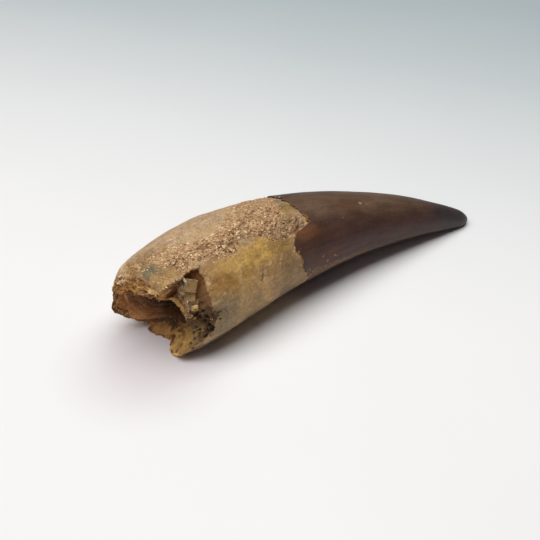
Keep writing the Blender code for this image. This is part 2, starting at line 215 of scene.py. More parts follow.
# Stains of the face: the middle as (angle, share of the way in), the reach each way, the colour
# and how strong it is.
FACE_STAINS = (
    ((40, 0.16), (16, 0.24), "#f0d2a6", 0.9),
    ((62, 0.1), (14, 0.16), "#c79f66", 0.7),
    ((30, 0.62), (11, 0.22), "#cb9242", 0.8),
    ((62, 0.62), (14, 0.22), "#c9a04c", 0.9),
    ((106, 0.3), (2.6, 0.11), "#e2cc98", 1.0),
    ((113, 0.8), (4, 0.25), "#c8801e", 0.8),
    ((27, 0.4), (5, 0.1), "#4a1c10", 0.9),
    ((46, 0.4), (5, 0.09), "#5a2614", 0.8),
    ((14, 0.93), (10, 0.08), "#2e1a0e", 0.9),
    ((36, 0.97), (8, 0.07), "#3a2212", 0.9),
    ((347, 0.3), (9, 0.4), "#6e4728", 0.8),
    ((256, 0.45), (4, 0.15), "#5a2612", 0.9),
    ((262, 0.3), (3, 0.12), "#4e2010", 0.8),
    ((220, 0.66), (20, 0.36), "#bb934e", 0.9),
    ((184, 0.2), (25, 0.26), "#4f3719", 0.9),
    ((172, 0.5), (12, 0.5), "#553a1c", 0.8),
    ((285, 0.9), (34, 0.25), "#493012", 0.95),
    ((143, 0.98), (22, 0.07), "#c59a58", 0.9),
    ((222, 0.06), (12, 0.1), "#8e7248", 0.7),
    ((246, 0.08), (13, 0.16), "#deb468", 0.9),
)
# How rusty the face is, by angle, and how much painted shade darkens the cavity, by angle: all but its far
# wall on the convex side.
RUST = ((0, 0.5), (60, 0.35), (112, 0.45), (118, 0), (150, 0), (215, 0.1), (240, 0.8), (300, 0.8))
CAVITY_SHADE = ((0, 1), (60, 0.55), (180, 0.42), (235, 0.34), (295, 0.4), (325, 1))
# The cavity's colour by depth: dark iron stain, deepened further inwards as painted shade.
CAVITY_COLOURS = (
    (0, "#bb8044"), (2, "#b87e45"), (4, "#9a6632"), (7, "#533316"), (11, "#2d1a0b"), (22, "#1e1108"),
)


def smooth(stations, x):
    """A cubic curve through (x, y) stations, with slopes taken from their neighbours."""
    xs, ys = np.array(stations, float).T
    slopes = np.gradient(ys, xs)
    i = np.clip(np.searchsorted(xs, x) - 1, 0, len(xs) - 2)
    span = xs[i + 1] - xs[i]
    t = (x - xs[i]) / span
    start = (1 + 2 * t) * (1 - t) ** 2 * ys[i] + t * (1 - t) ** 2 * span * slopes[i]
    end = t * t * (3 - 2 * t) * ys[i + 1] + t * t * (t - 1) * span * slopes[i + 1]
    return start + end


def around(profile, angle):
    """A value given at some angles, read at any angle of the full turn."""
    angles, values = np.array(profile, float).T
    return np.interp(angle, angles, values, period=360)


def turn_from(angle, start):
    """Degrees from one angle to another, the short way round, between -180 and 180."""
    return (angle - start + 180) % 360 - 180


def directions(station):
    """Unit vectors along the centreline, to its convex side and upwards, at each station."""
    share = np.clip(station / ARC_LENGTH, 0, 1)
    heading = np.radians(np.polyval(HEADING, share))
    pitch = np.radians(np.polyval(PITCH, share))
    along = np.stack(
        [np.cos(pitch) * np.cos(heading), np.cos(pitch) * np.sin(heading), np.sin(pitch)], -1
    )
    side = np.stack([-np.sin(heading), np.cos(heading), np.zeros_like(heading)], -1)
    return along, side, np.cross(along, side)


def centre(station):
    """The centreline's point at each station; before the reference ring it runs on straight."""
    track = np.linspace(0, ARC_LENGTH, TRACK_POINTS)
    along = directions(track)[0]
    steps = (along[1:] + along[:-1]) / 2 * (track[1] - track[0])
    points = np.vstack([np.zeros(3), np.cumsum(steps, axis=0)]) + ROOT_CENTRE
    on_track = np.stack([np.interp(station, track, points[:, k]) for k in range(3)], -1)
    return on_track + np.minimum(station, 0)[..., None] * along[0]


def in_section(station, to_side, upwards):
    """The point at an offset in the section across the centreline, never below the floor."""
    _, side, up = directions(station)
    point = centre(station) + side * to_side[..., None] + up * upwards[..., None]
    point[..., 2] = np.maximum(point[..., 2], 0)
    return point


def half_width(station):
    """Half the width at a station, rounded off at the tip."""
    dome = np.clip((station - ARC_LENGTH + TIP_DOME) / TIP_DOME, 0, 1)
    return smooth(HALF_WIDTH, station) * np.sqrt(1 - dome**2)


def outline(station, angle, lift):
    """Offsets, to the side and upwards, of a place on the outer surface raised by lift."""
    reach = half_width(station)
    turn = np.radians(angle)
    return (reach + lift) * np.cos(turn), (reach * HEIGHT_RATIO + lift) * np.sin(turn)


def on_surface(station, angle, lift=0.0):
    """The point of the outer surface at a place, raised by lift."""
    return in_section(station, *outline(station, angle, lift))


def lumps(points, *layers, seed=0.0):
    """Noise at each point, summed over layers of (size of a lump, its height)."""
    flat = points.reshape(-1, 3)
    total = np.zeros(len(flat))
    for size, height in layers:
        places = (flat / size + seed).tolist()
        total += height * np.array([noise.noise(place) for place in places])
    return total.reshape(points.shape[:-1])


def cells(points, size, seed=0.0):
    """How near each point is to the middle of its cell: 0 on a border, about 1 at the middle."""
    flat = (points.reshape(-1, 3) / size + seed).tolist()
    near = np.array([noise.voronoi(place)[0][:2] for place in flat])
    return np.clip(near[:, 1] - near[:, 0], 0, 1).reshape(points.shape[:-1])


def ease(low, high, x):
    """0 at low and 1 at high, with a soft start and end; low may be the greater."""
    t = np.clip((x - low) / (high - low), 0, 1)
    return t * t * (3 - 2 * t)


def mesh_object(name, points, faces, marks):
    """A smooth-shaded object from points in mm, with a number or a colour per point for each mark."""
    data = bpy.data.meshes.new(name)
    data.from_pydata((points * MM).tolist(), [], faces)
    for mark, values in marks.items():
        kind, field = ("FLOAT_VECTOR", "vector") if values.shape[-1] == 3 else ("FLOAT", "value")
        data.attributes.new(mark, kind, "POINT").data.foreach_set(field, values.ravel())
    data.shade_smooth()
    data.validate()
    made = bpy.data.objects.new(name, data)
    bpy.context.scene.collection.objects.link(made)
    return made


def closed_rings(rings, start, end):
    """Points and faces of a closed form: a point, rings one after another, and a last point."""
    rows, columns = rings.shape[:2]
    points = np.vstack([rings.reshape(-1, 3), start, end])
    near = np.arange(columns)
    after = np.roll(near, -1)
    faces = [(rows * columns, b, a) for a, b in zip(near, after)]
    for row in range(rows - 1):
        low, high = row * columns, (row + 1) * columns
        faces += list(zip(low + near, low + after, high + after, high + near))
    last = (rows - 1) * columns
    faces += [(rows * columns + 1, last + a, last + b) for a, b in zip(near, after)]
    return points, [tuple(int(i) for i in face) for face in faces]


def patch(station, angle, at, size, wander):
    """1 inside a rounded patch centred at (station, angle), 0 outside, with an uneven soft edge."""
    along = (station - at[0]) / size[0]
    across = turn_from(angle, at[1]) / size[1]
    return ease(1.5, 0.5, np.hypot(along, across) + wander)


def linear(code):
    """A #rrggbb colour as the linear RGBA that a shader takes."""
    parts = [int(code[i : i + 2], 16) / 255 for i in (1, 3, 5)]
    return [p / 12.92 if p <= 0.04045 else ((p + 0.055) / 1.055) ** 2.4 for p in parts] + [1.0]


def painted(colours, amount, code):
    """Colours moved towards another by an amount from 0 to 1."""
    return colours + amount[..., None] * (np.array(linear(code)[:3]) - colours)


def blend(profile, x, period=None):
    """The colour at x in a profile of (place, colour)."""
    places = [place for place, _ in profile]
    colours = np.array([linear(code)[:3] for _, code in profile])
    return np.stack([np.interp(x, places, colours[:, k], period=period) for k in range(3)], -1)


def near_line(station, angle, line, width):
    """1 on a line of (station, angle) points, falling to 0 past its half width in mm."""
    reach = half_width(np.array([place[0] for place in line])).mean()
    flat = [(place[0], np.radians(place[1]) * reach) for place in line]
    return ease(1.4, 0.4, from_line(station, np.radians(angle) * reach, flat) / width)


def from_line(x, y, line):
    """How far each (x, y) is from a line through points."""
    nearest = np.full(x.shape, 99.0)
    for start, end in zip(np.array(line[:-1]), np.array(line[1:])):
        run = end - start
        t = np.clip(((x - start[0]) * run[0] + (y - start[1]) * run[1]) / (run @ run), 0, 1)
        nearest = np.minimum(nearest, np.hypot(x - start[0] - t * run[0], y - start[1] - t * run[1]))
    return nearest


def weathered_lift(plain):
    """How far the weathered outside stands off the plain form: low lumps and small pits."""
    pits = np.minimum(lumps(plain, PITS, seed=8.3) + 0.22, 0) * 0.8
    return lumps(plain, *WEATHERED_LUMPS) + pits - ENAMEL_THICKNESS / 2


def pit_pattern(plain):
    """1 in the middle of the pits that open on the break's lower side, of uneven size and shape."""
    shifted = plain + lumps(plain, (1.5, 0.9), (0.6, 0.3), seed=86.0)[..., None]
    uneven = lumps(plain, (3.0, 0.5), seed=88.0)
    return ease(0.22, 0.5, cells(shifted, PIT_SPACING, seed=4.0) + uneven)


def notch_bend(station, angle):
    """How many degrees the notch's broken upper wall wanders from a straight line."""
    track = np.stack([station, np.zeros_like(station), np.zeros_like(station)], -1)
    return np.exp(-(((angle - 118) / 5) ** 2)) * lumps(track, *NOTCH_BENDS, seed=71.0)


turns = np.interp(np.arange(ROOT_COLUMNS), *np.array(COLUMN_ANGLES).T)
ring = on_surface(np.zeros_like(turns), turns)
ragged = 1 + 1.2 * ease(119, 125, turns) * ease(222, 212, turns)
rim = around(RIM, turns) + ragged * lumps(ring, *RIM_SPLINTERS, seed=3.1)
edge = around(ENAMEL_EDGE, turns)

# The outside, from the broken rim to a little way under the enamel.
share = np.linspace(0, 1, ROOT_ROWS)[:, None]
outer_station = rim + share * (edge + UNDER_ENAMEL - rim)
outer_angle = turns + notch_bend(outer_station, turns)
plain = on_surface(outer_station, outer_angle)
from_rim = outer_station - rim
worn_off = RIM_WEAR * (1 + 1.2 * ease(10, 35, turns) * ease(95, 65, turns))
wear = worn_off * (1 - np.clip(from_rim / RIM_WEAR_REACH, 0, 1)) ** 2
across = turn_from(outer_angle, SWELLING_AT[0]) / SWELLING_REACH[0]
along = (outer_station - SWELLING_AT[1]) / SWELLING_REACH[1]
swelling = SWELLING_HEIGHT * np.clip(1 - across**2 - along**2, 0, 1) ** 2
outer_lift = weathered_lift(plain) - wear + swelling
wandering = outer_station + lumps(plain, (1.6, 0.7), (0.6, 0.5), seed=40.0)
wandering_angle = outer_angle + lumps(plain, (1.6, 2.0), (0.6, 1.6), seed=44.0)
broken_up = ease(-0.25, 0.15, lumps(plain, (0.7, 1.0), seed=47.0))
pale = np.zeros(plain.shape[:2])
for line, width, strength in VEINS:
    pale = np.maximum(pale, strength * broken_up * near_line(wandering, wandering_angle, line, width))
dark = np.zeros(plain.shape[:2])
for line, width, strength in CRACKS:
    dark = np.maximum(dark, strength * near_line(wandering, wandering_angle, line, width))
near_rim = ease(4.0, 1.0, from_rim + 3 * lumps(plain, (2.5, 1.0)))
manganese = pit_pattern(plain) * near_rim
manganese = manganese * ease(162, 172, outer_angle) * ease(210, 198, outer_angle)
dark = np.maximum(dark, 0.85 * manganese)
uneven = lumps(plain, (4.0, 0.5), seed=64.0)
shattered = patch(outer_station, outer_angle, (40, 117), (6, 18), uneven)
shards = lumps(plain, (1.2, 0.8), seed=65.0)
crevices = shattered * ease(0.22, 0.05, cells(plain + shards[..., None], SHARD_SPACING, seed=6.0))
dark = np.maximum(dark, 0.75 * crevices * ease(-0.2, 0.2, shards))
outer_lift += 0.15 * pale - 0.3 * dark - 0.5 * manganese - 0.4 * crevices
outer_lift += shattered * lumps(plain, *EDGE_LUMPS, seed=66.0)
outer = on_surface(outer_station, outer_angle, outer_lift)

# The broken face, from the rim inwards to the mouth of the cavity.
share = np.linspace(0, 1, FACE_ROWS + 1)[1:, None]
out_side, out_up = outline(rim, outer_angle[0], outer_lift[0])
reach = around(MOUTH, turns) + lumps(ring, (2.5, 0.5), (0.8, 0.3), seed=5.7)
mouth_side = MOUTH_CENTRE[0] + reach * np.cos(np.radians(turns))
mouth_up = MOUTH_CENTRE[1] + reach * np.sin(np.radians(turns))
mouth_station = around(MOUTH_STATION, turns) + lumps(ring, (2.0, 0.5), (0.7, 0.25), seed=9.2)
face_side = out_side + (mouth_side - out_side) * share
face_up = out_up + (mouth_up - out_up) * share
face_station = rim + (mouth_station - rim) * share**FACE_BEND
face_angle = np.broadcast_to(turns, face_station.shape)
signed = turn_from(face_angle, 0)
plain = in_section(face_station, face_side, face_up)
plain_face = plain
layered = ease(LAYERED_ANGLES[0] - 8, LAYERED_ANGLES[0] + 8, signed)
layered = layered * ease(LAYERED_ANGLES[1] + 2, LAYERED_ANGLES[1] - 2, signed)
block = ease(BLOCK_ANGLES[0] - 1, BLOCK_ANGLES[0] + 1, face_angle)
block = block * ease(BLOCK_ANGLES[1] + 4, BLOCK_ANGLES[1] - 2, face_angle) * ease(0.9, 0.7, share)
level = share * LAYER_COUNT + lumps(plain, (5.0, 1.2), (1.4, 0.5), seed=2.4)
layer = np.floor(level)
along_layer = np.radians(face_angle) * 14.0 / LAYER_RUN


def layer_height(number):
    """How far one growth layer stands out, which changes along the layer."""
    places = np.stack([number * 7.3, along_layer, np.full_like(along_layer, 0.5)], -1)
    return lumps(places, (1.0, 1.0), (0.37, 0.5))


def on_face(places):
    """Offsets, to the side and upwards, of (angle, share) places on the broken face."""
    return [
        [np.interp(angle, turns, start + (end - start) * way) for start, end in
         ((out_side, mouth_side), (out_up, mouth_up))]
        for angle, way in places
    ]


swellings = np.zeros(face_station.shape)
for place, radius, height in SWELLINGS:
    (at_side, at_up), = on_face([place])
    away = np.hypot(face_side - at_side, face_up - at_up) / radius
    swellings += height * np.clip(1 - away**2, 0, 1) ** 1.5
for places, half, height in RIDGES:
    away = from_line(face_side, face_up, on_face(places)) / half
    swellings += height * np.clip(1 - away, 0, 1)

next_one = ease(0.78, 1.0, level - layer)
layers = layer_height(layer) * (1 - next_one) + layer_height(layer + 1) * next_one
pitted = ease(PITTED_ANGLES[0] - 4, PITTED_ANGLES[0] + 4, face_angle)
pitted = pitted * ease(PITTED_ANGLES[1] + 4, PITTED_ANGLES[1] - 4, face_angle) * ease(0.95, 0.6, share)
hollow = pit_pattern(plain) * pitted
fade_ends = ease(0, 0.05, share)
face_station = face_station + fade_ends * (
    layers * LAYER_STEP * (0.12 + 0.88 * layered) - swellings
    + (1 - 0.8 * block + 0.9 * ease(205, 225, face_angle) * ease(305, 285, face_angle))
    * lumps(plain, *FACE_LUMPS, seed=6.1)
    + hollow * PIT_DEPTH
)
face = in_section(face_station, face_side, face_up)
layer_tone = 0.5 + 0.9 * layer_height(layer * 1.7 + 11) + lumps(plain, (0.8, 0.25), seed=1.1)
groove = ease(0.62, 0.88, level - layer) * ease(1.0, 0.9, level - layer)
layer_tone = 0.45 + (layer_tone - 0.45 - 0.35 * groove) * (0.25 + 0.75 * layered)

# The pulp cavity, narrowing to its blind end.
depth = CAVITY_DEPTH * np.linspace(0, 1, CAVITY_ROWS + 1)[1:, None] ** 1.5
scale = np.interp(depth, *np.array(CAVITY_TAPER).T)
cavity_side = MOUTH_CENTRE[0] * scale + reach * scale * np.cos(np.radians(turns))
cavity_up = MOUTH_CENTRE[1] * scale + reach * scale * np.sin(np.radians(turns))
cavity_station = mouth_station * scale + depth
cavity_angle = np.broadcast_to(turns, cavity_station.shape)
plain = in_section(cavity_station, cavity_side, cavity_up)
rough = lumps(plain, *CAVITY_LUMPS, seed=7.7)
ring_depth = np.broadcast_to(depth, cavity_angle.shape) + lumps(plain, (5.0, 1.2), seed=19.0)
growth = np.stack([np.cos(np.radians(cavity_angle)) * 1.5, np.sin(np.radians(cavity_angle)) * 1.5,
                   ring_depth * 2.0], -1)
rough = rough + 0.22 * lumps(growth, (1.0, 1.0), (0.45, 0.5))
cavity = in_section(
    cavity_station + 0.4 * rough, cavity_side * (1 + rough / 14), cavity_up * (1 + rough / 14)
)

rings = np.concatenate([outer[::-1], face, cavity])
middle = centre(np.array([edge.mean() + UNDER_ENAMEL]))[0]
blind_end = centre(np.array([CAVITY_DEPTH + 0.5]))[0]
points, faces = closed_rings(rings, middle, blind_end)
# The rings run from under the enamel back to the rim, so their faces are turned outwards.
faces = [side[::-1] for side in faces]

station = np.concatenate([outer_station[::-1], face_station, cavity_station])
angle = np.concatenate([outer_angle[::-1], face_angle, cavity_angle])


def over_rings(outside=0.0, broken=0.0, inside=0.0):
    """One number per point of the rings, from its values on each of their three parts."""
    values = np.zeros(station.shape)
    values[:ROOT_ROWS] = outside[::-1] if np.ndim(outside) else outside
    values[ROOT_ROWS : ROOT_ROWS + FACE_ROWS] = broken
    values[ROOT_ROWS + FACE_ROWS :] = inside
    return values


tone = over_rings(broken=layer_tone, inside=0.5 + 1.2 * lumps(growth, (1.0, 0.6), (0.45, 0.4)))
dark = over_rings(dark, hollow)
pale = over_rings(pale)
smooth_break = over_rings(broken=block)
wander = lumps(rings, (5.0, 0.4), (1.4, 0.22), (0.5, 0.1), seed=12.0)
stain_and_painted_light = np.full((*station.shape, 3), linear(TAN)[:3])
for at, size, code, strength in STAINS_AND_SHADE:
    stain_and_painted_light = painted(stain_and_painted_light, strength * patch(station, angle, at, size, wander), code)
on_break = slice(ROOT_ROWS, ROOT_ROWS + FACE_ROWS)
face_stain = blend(FACE_COLOURS, face_angle + 12 * wander[on_break], 360)
for at, size, code, strength in FACE_STAINS:
    across = turn_from(face_angle, at[0]) / size[0]
    away = np.hypot(across, (share - at[1]) / size[1]) + 0.8 * wander[on_break]
    face_stain = painted(face_stain, strength * ease(1.25, 0.75, away), code)
rust = ease(0.08, 0.4, lumps(plain_face, (1.5, 0.9), (0.5, 0.35), seed=61.0))
rust = rust * np.interp(face_angle, *np.array(RUST).T, period=360)
stain_and_painted_light[on_break] = painted(face_stain, rust, "#5a2812")
# The cavity's colour, darkened by angle and by depth: painted shade inside it.
cavity_shade_factor = np.interp(cavity_angle, *np.array(CAVITY_SHADE).T, period=360)[..., None]
stain_and_painted_light[ROOT_ROWS + FACE_ROWS :] = cavity_shade_factor * blend(
    CAVITY_COLOURS, depth + 3 * wander[ROOT_ROWS + FACE_ROWS :])
polish = ease(112, 128, angle + 10 * wander) * ease(250, 215, angle)
from_mouth = np.concatenate([station[: ROOT_ROWS + FACE_ROWS], ring_depth])


def with_ends(values, parts=1):
    """The marks of the rings' points, and of the two points that close the form."""
    flat = values.reshape(-1, parts)
    return np.vstack([flat, flat[:1], flat[-1:]])


def lengthwise(station, angle):
    """Coordinates in mm that follow the tooth's curve, for patterns that run along it."""
    turn = np.radians(angle)
    reach = half_width(station)
    return np.stack([station, reach * np.cos(turn), reach * np.sin(turn)], -1)


root = mesh_object("root_dentine", points, faces, {
    "stain_and_painted_light": with_ends(stain_and_painted_light, 3), "lengthwise": with_ends(lengthwise(from_mouth, angle), 3),
    "tone": with_ends(tone), "dark": with_ends(dark), "pale": with_ends(pale),
    "polish": with_ends(polish), "smooth_break": with_ends(smooth_break),
})


def add(tree, kind, inputs, out=0, stops=(), **settings):
    """Adds a node, sets its properties and ramp stops, links its inputs, and gives one output."""
    node = tree.nodes.new("ShaderNode" + kind)
    for name, value in settings.items():
        setattr(node, name, value)
    for number, (place, colour) in enumerate(stops):
        elements = node.color_ramp.elements
        element = elements[number] if number < 2 else elements.new(place)
        element.position = place
        element.color = linear(colour)
    connect(tree, node, inputs)
    return node.outputs[out]


def connect(tree, node, inputs):
    """Sets a node's inputs to values, or links them to other nodes' outputs."""
    for socket, value in inputs.items():
        if isinstance(value, bpy.types.NodeSocket):
            tree.links.new(value, node.inputs[socket])
        else:
            node.inputs[socket].default_value = value


def new_material(name):
    """A material with its node tree, its shader, and the place on the piece in metres."""
    material = bpy.data.materials.new(name)
    material.use_nodes = True
    tree = material.node_tree
    place = add(tree, "TexCoord", {}, out="Object")
    return material, tree, tree.nodes["Principled BSDF"], place


def per_mm(size):
    """The scale of a noise texture in metres whose lumps are about this many mm across."""
    return 1 / (size * MM)


def shaded(tree, colour, pattern, dark, light):
    """A colour made darker and lighter by a noise pattern, between two factors."""
    factor = add(tree, "MapRange", {0: pattern, 1: 0.3, 2: 0.7, 3: dark, 4: light})
    return add(tree, "VectorMath", {0: colour, 3: factor}, operation="SCALE")


# Weathered dentine: mineralised tooth, matt and tan where it lay in the sand, and polished,
# ochre and slightly clear where it was rubbed. Its index is that of apatite.
weathered, tree, shader, place = new_material("weathered_dentine")
stain_with_painted_light = add(tree, "Attribute", {}, "Vector", attribute_name="stain_and_painted_light")
along_tooth = add(tree, "Attribute", {}, "Vector", attribute_name="lengthwise")
mottle = add(tree, "TexNoise", {"Vector": place, "Scale": per_mm(3.2), "Detail": 6.0, "Roughness": 0.65})
fine = add(tree, "TexNoise", {"Vector": place, "Scale": per_mm(0.7), "Detail": 4.0, "Roughness": 0.65})
cloud = add(tree, "TexNoise", {"Vector": place, "Scale": per_mm(8), "Detail": 3.0, "Distortion": 0.6})
stretched = add(tree, "Mapping", {"Vector": along_tooth, "Scale": (0.12, 1.1, 1.1)})
fibre = add(tree, "TexNoise", {"Vector": stretched, "Scale": 1.0, "Detail": 4.0})
speck = add(tree, "TexNoise", {"Vector": place, "Scale": per_mm(1.3), "Detail": 5.0, "Roughness": 0.7})
colour = shaded(tree, stain_with_painted_light, mottle, 0.84, 1.16)
colour = shaded(tree, colour, speck, 0.68, 1.32)
colour = shaded(tree, colour, fine, 0.76, 1.24)
colour = shaded(tree, colour, fibre, 0.88, 1.12)
for pattern, none, full, most, code in (
    (cloud, 0.50, 0.66, 0.40, "#c09a5c"), (cloud, 0.48, 0.34, 0.30, "#6f5a3a"),
    (fine, 0.66, 0.76, 0.5, "#d9c196"), (fine, 0.36, 0.26, 0.5, "#5a3f22"),
):
    amount = add(tree, "MapRange", {0: pattern, 1: none, 2: full, 3: 0.0, 4: most})
    colour = add(tree, "Mix", {0: amount, 6: colour, 7: linear(code)}, 2, data_type="RGBA")
for mark, code in (("pale", "#cdb284"), ("dark", "#362312")):
    amount = add(tree, "Attribute", {}, "Fac", attribute_name=mark)
    colour = add(tree, "Mix", {0: amount, 6: colour, 7: linear(code)}, 2, data_type="RGBA")
rubbed = add(tree, "Attribute", {}, "Fac", attribute_name="polish")
gloss = add(tree, "MapRange", {0: rubbed, 3: 0.7, 4: 0.46})
uneven = add(tree, "MapRange", {0: mottle, 1: 0.3, 2: 0.7, 3: 0.0, 4: 0.12})
gloss = add(tree, "Math", {0: gloss, 1: uneven}, operation="ADD")
bump = add(tree, "Bump", {"Height": speck, "Strength": 0.7, "Distance": 0.4 * MM})
connect(tree, shader, {
    "Base Color": colour, "Roughness": gloss, "IOR": 1.6, "Specular IOR Level": 0.3, "Normal": bump})

# Split dentine: the fresh breaks along growth layers, each layer stained its own brown, with
# cream flakes and dark joints. The break behind the crystals is a smooth, nearly clear brown.
split, tree, shader, place = new_material("split_dentine")
stain_with_painted_light = add(tree, "Attribute", {}, "Vector", attribute_name="stain_and_painted_light")
fine = add(tree, "TexNoise", {"Vector": place, "Scale": per_mm(0.6), "Detail": 5.0, "Roughness": 0.7})
mottle = add(tree, "TexNoise", {"Vector": place, "Scale": per_mm(2.2), "Detail": 4.0, "Roughness": 0.65})
colour = shaded(tree, stain_with_painted_light, mottle, 0.7, 1.28)
layer_shade = add(tree, "Attribute", {}, "Fac", attribute_name="tone")
grain = add(tree, "MapRange", {0: fine, 1: 0.3, 2: 0.7, 3: -0.18, 4: 0.18})
level = add(tree, "Math", {0: layer_shade, 1: grain}, operation="ADD")
for none, full, most, code in ((0.6, 0.95, 0.75, "#e2be84"), (0.3, 0.02, 0.8, "#5e3414")):
    amount = add(tree, "MapRange", {0: level, 1: none, 2: full, 3: 0.0, 4: most})
    colour = add(tree, "Mix", {0: amount, 6: colour, 7: linear(code)}, 2, data_type="RGBA")
clean = add(tree, "Attribute", {}, "Fac", attribute_name="smooth_break")
colour = add(tree, "Mix", {
    0: clean, 6: colour, 7: shaded(tree, stain_with_painted_light, mottle, 0.85, 1.15)}, 2, data_type="RGBA")
amount = add(tree, "Attribute", {}, "Fac", attribute_name="dark")
colour = add(tree, "Mix", {0: amount, 6: colour, 7: linear("#261508")}, 2, data_type="RGBA")
gloss = add(tree, "MapRange", {0: clean, 3: 0.66, 4: 0.5})
bump = add(tree, "Bump", {"Height": fine, "Strength": 0.6, "Distance": 0.3 * MM})
connect(tree, shader, {
    "Base Color": colour, "Roughness": gloss, "IOR": 1.6, "Specular IOR Level": 0.28, "Normal": bump})

# Cavity lining: dentine stained dark by iron, with fine growth lines; its colour is darkened inwards and
# round its sides as painted shade.
lining, tree, shader, place = new_material("cavity_lining")
stain_with_painted_light = add(tree, "Attribute", {}, "Vector", attribute_name="stain_and_painted_light")
along_tooth = add(tree, "Attribute", {}, "Vector", attribute_name="lengthwise")
fine = add(tree, "TexNoise", {"Vector": place, "Scale": per_mm(0.9), "Detail": 5.0, "Roughness": 0.65})
stretched = add(tree, "Mapping", {"Vector": along_tooth, "Scale": (2.6, 0.14, 0.14)})
lines = add(tree, "TexNoise", {"Vector": stretched, "Scale": 1.0, "Detail": 4.0, "Roughness": 0.6})
colour = shaded(tree, stain_with_painted_light, lines, 0.45, 1.6)
colour = shaded(tree, colour, fine, 0.75, 1.22)
bump = add(tree, "Bump", {"Height": lines, "Strength": 0.5, "Distance": 0.3 * MM})
connect(tree, shader, {"Base Color": colour, "Roughness": 0.6, "IOR": 1.6, "Normal": bump})

for material in (weathered, split, lining):
    root.data.materials.append(material)
kind = np.repeat([0, 1, 2], [ROOT_ROWS - 1, FACE_ROWS, CAVITY_ROWS])
kind = np.concatenate([
    np.zeros(ROOT_COLUMNS, int), np.repeat(kind, ROOT_COLUMNS), np.full(ROOT_COLUMNS, 2)])
root.data.polygons.foreach_set("material_index", kind.astype(np.int32))
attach(root, "root")
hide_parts("tooth")


# ================================================================ The crown
# The enamelled upper half: a thin hard shell of dark enamel that grew over the dentine, with two
# low keels and faint flutes along it. Its lower edge is broken ragged, and the keel on the
# concave side is worn through to the dentine beneath.

CROWN_COLUMNS = 340
CROWN_ROWS = 250
DOME_ROWS = 22
EDGE_RAGGED = ((2.4, 1.0), (1.0, 0.7), (0.45, 0.35))
KEEL_ANGLES = (16, 196)
KEEL_HEIGHT = 0.45
KEEL_WIDTH = 9.0
FLUTE_HEIGHT = 0.012
ENAMEL_LUMPS = ((9.0, 0.10), (2.5, 0.03))
WORN_EDGE = ((42, 186), (44, 191), (48, 188), (55, 191), (62, 196), (69, 198), (80, 205), (89, 209))
WORN_END = 94
WORN_DEPTH = 0.14
CHIPS = (
    (71.8, 110, 0.4), (62.2, 132, 0.25), (51.0, 175, 0.3), (56.5, 182, 0.35), (57.6, 184, 0.25),
    (53.2, 186, 0.35), (63.2, 196, 0.3), (61.5, 195, 0.25), (74.0, 113, 0.22),
)
ENAMEL = "#4d382e"
ENAMEL_STAINS_AND_SHEEN = (
    # The lighter top is partly dusty wear and partly painted sheen from the light overhead.
    ((70, 98), (34, 26), "#6c5543", 0.8),
    ((47.5, 134), (3, 3.5), "#80593a", 0.8),
    ((92, 96), (14, 18), "#5e4b3d", 0.5),
    ((50, 158), (12, 26), "#523629", 0.8),
    ((46, 138), (5, 9), "#6c4730", 0.8),
    ((67, 112), (6, 13), "#5d402c", 0.6),
    ((84, 120), (10, 10), "#56402f", 0.4),
    ((72, 164), (30, 18), "#482e2a", 0.8),
    ((56, 178), (8, 9), "#5c3324", 0.8),
    ((118, 110), (16, 180), "#3c3537", 0.9),
)

turns = np.arange(CROWN_COLUMNS) * 360.0 / CROWN_COLUMNS
ring = on_surface(np.full_like(turns, 46.0), turns)
edge = around(ENAMEL_EDGE, turns) + lumps(ring, *EDGE_RAGGED, seed=14.0)
dome_start = ARC_LENGTH - TIP_DOME
share = np.linspace(0, 1, CROWN_ROWS)[:, None]
station = edge + (share**1.25) * (dome_start - edge)
dome = dome_start + TIP_DOME * np.sin(np.radians(np.linspace(4, 88, DOME_ROWS)))[:, None]
station = np.concatenate([station, np.broadcast_to(dome, (DOME_ROWS, CROWN_COLUMNS))])
angle = np.broadcast_to(turns, station.shape)
plain = on_surface(station, angle)

fade_tip = np.clip((ARC_LENGTH - station) / 25, 0, 1)
fade_edge = np.clip((station - edge) / 6, 0, 1)
keel = sum(np.exp(-((turn_from(angle, at) / KEEL_WIDTH) ** 2)) for at in KEEL_ANGLES)
flutes = np.cos(np.radians(angle) * 36 + 2 * lumps(plain, (12, 1.0), seed=3.0))
lift = ENAMEL_THICKNESS / 2 + KEEL_HEIGHT * keel * fade_tip * fade_edge
lift += lumps(plain, *ENAMEL_LUMPS, seed=21.0) + FLUTE_HEIGHT * flutes * fade_tip * fade_edge
ragged = lumps(plain, (3.0, 2.2), (0.9, 1.2), seed=17.0)
past_edge = angle - np.interp(station, *np.array(WORN_EDGE).T) + ragged
worn = ease(-1.2, 1.2, past_edge) * ease(216, 210, angle + ragged)
worn = worn * ease(WORN_END, WORN_END - 12, station)
lift -= (WORN_DEPTH + 0.3 * ease(4, 0, station - edge)) * worn
chipped = np.zeros(station.shape)
for at_station, at_angle, radius in CHIPS:
    away = np.hypot(station - at_station, np.radians(angle - at_angle) * half_width(station))
    chipped = np.maximum(chipped, ease(1.3, 0.6, away / radius + 0.9 * lumps(plain, (0.45, 1.0))))
lift -= 0.12 * chipped
shell = on_surface(station, angle, lift)

# The broken lower edge is rounded over, and the shell closes inside the dentine.
rim_rows = [
    on_surface(edge + back, turns, lift[0] - drop)
    for back, drop in ((0.25, 0.55), (0.05, 0.40), (-0.07, 0.25), (-0.08, 0.10), (-0.03, 0.02))
]
inner = on_surface(edge + 2, turns, -5.0)
rings = np.concatenate([[inner], rim_rows, shell])
start = centre(np.array([edge.mean() + 2]))[0]
tip = centre(np.array([ARC_LENGTH]))[0]
points, faces = closed_rings(rings, start, tip)


def over_edge(values):
    """The shell's marks, carried over its rounded lower edge."""
    return np.concatenate([np.repeat(values[:1], len(rim_rows) + 1, axis=0), values])


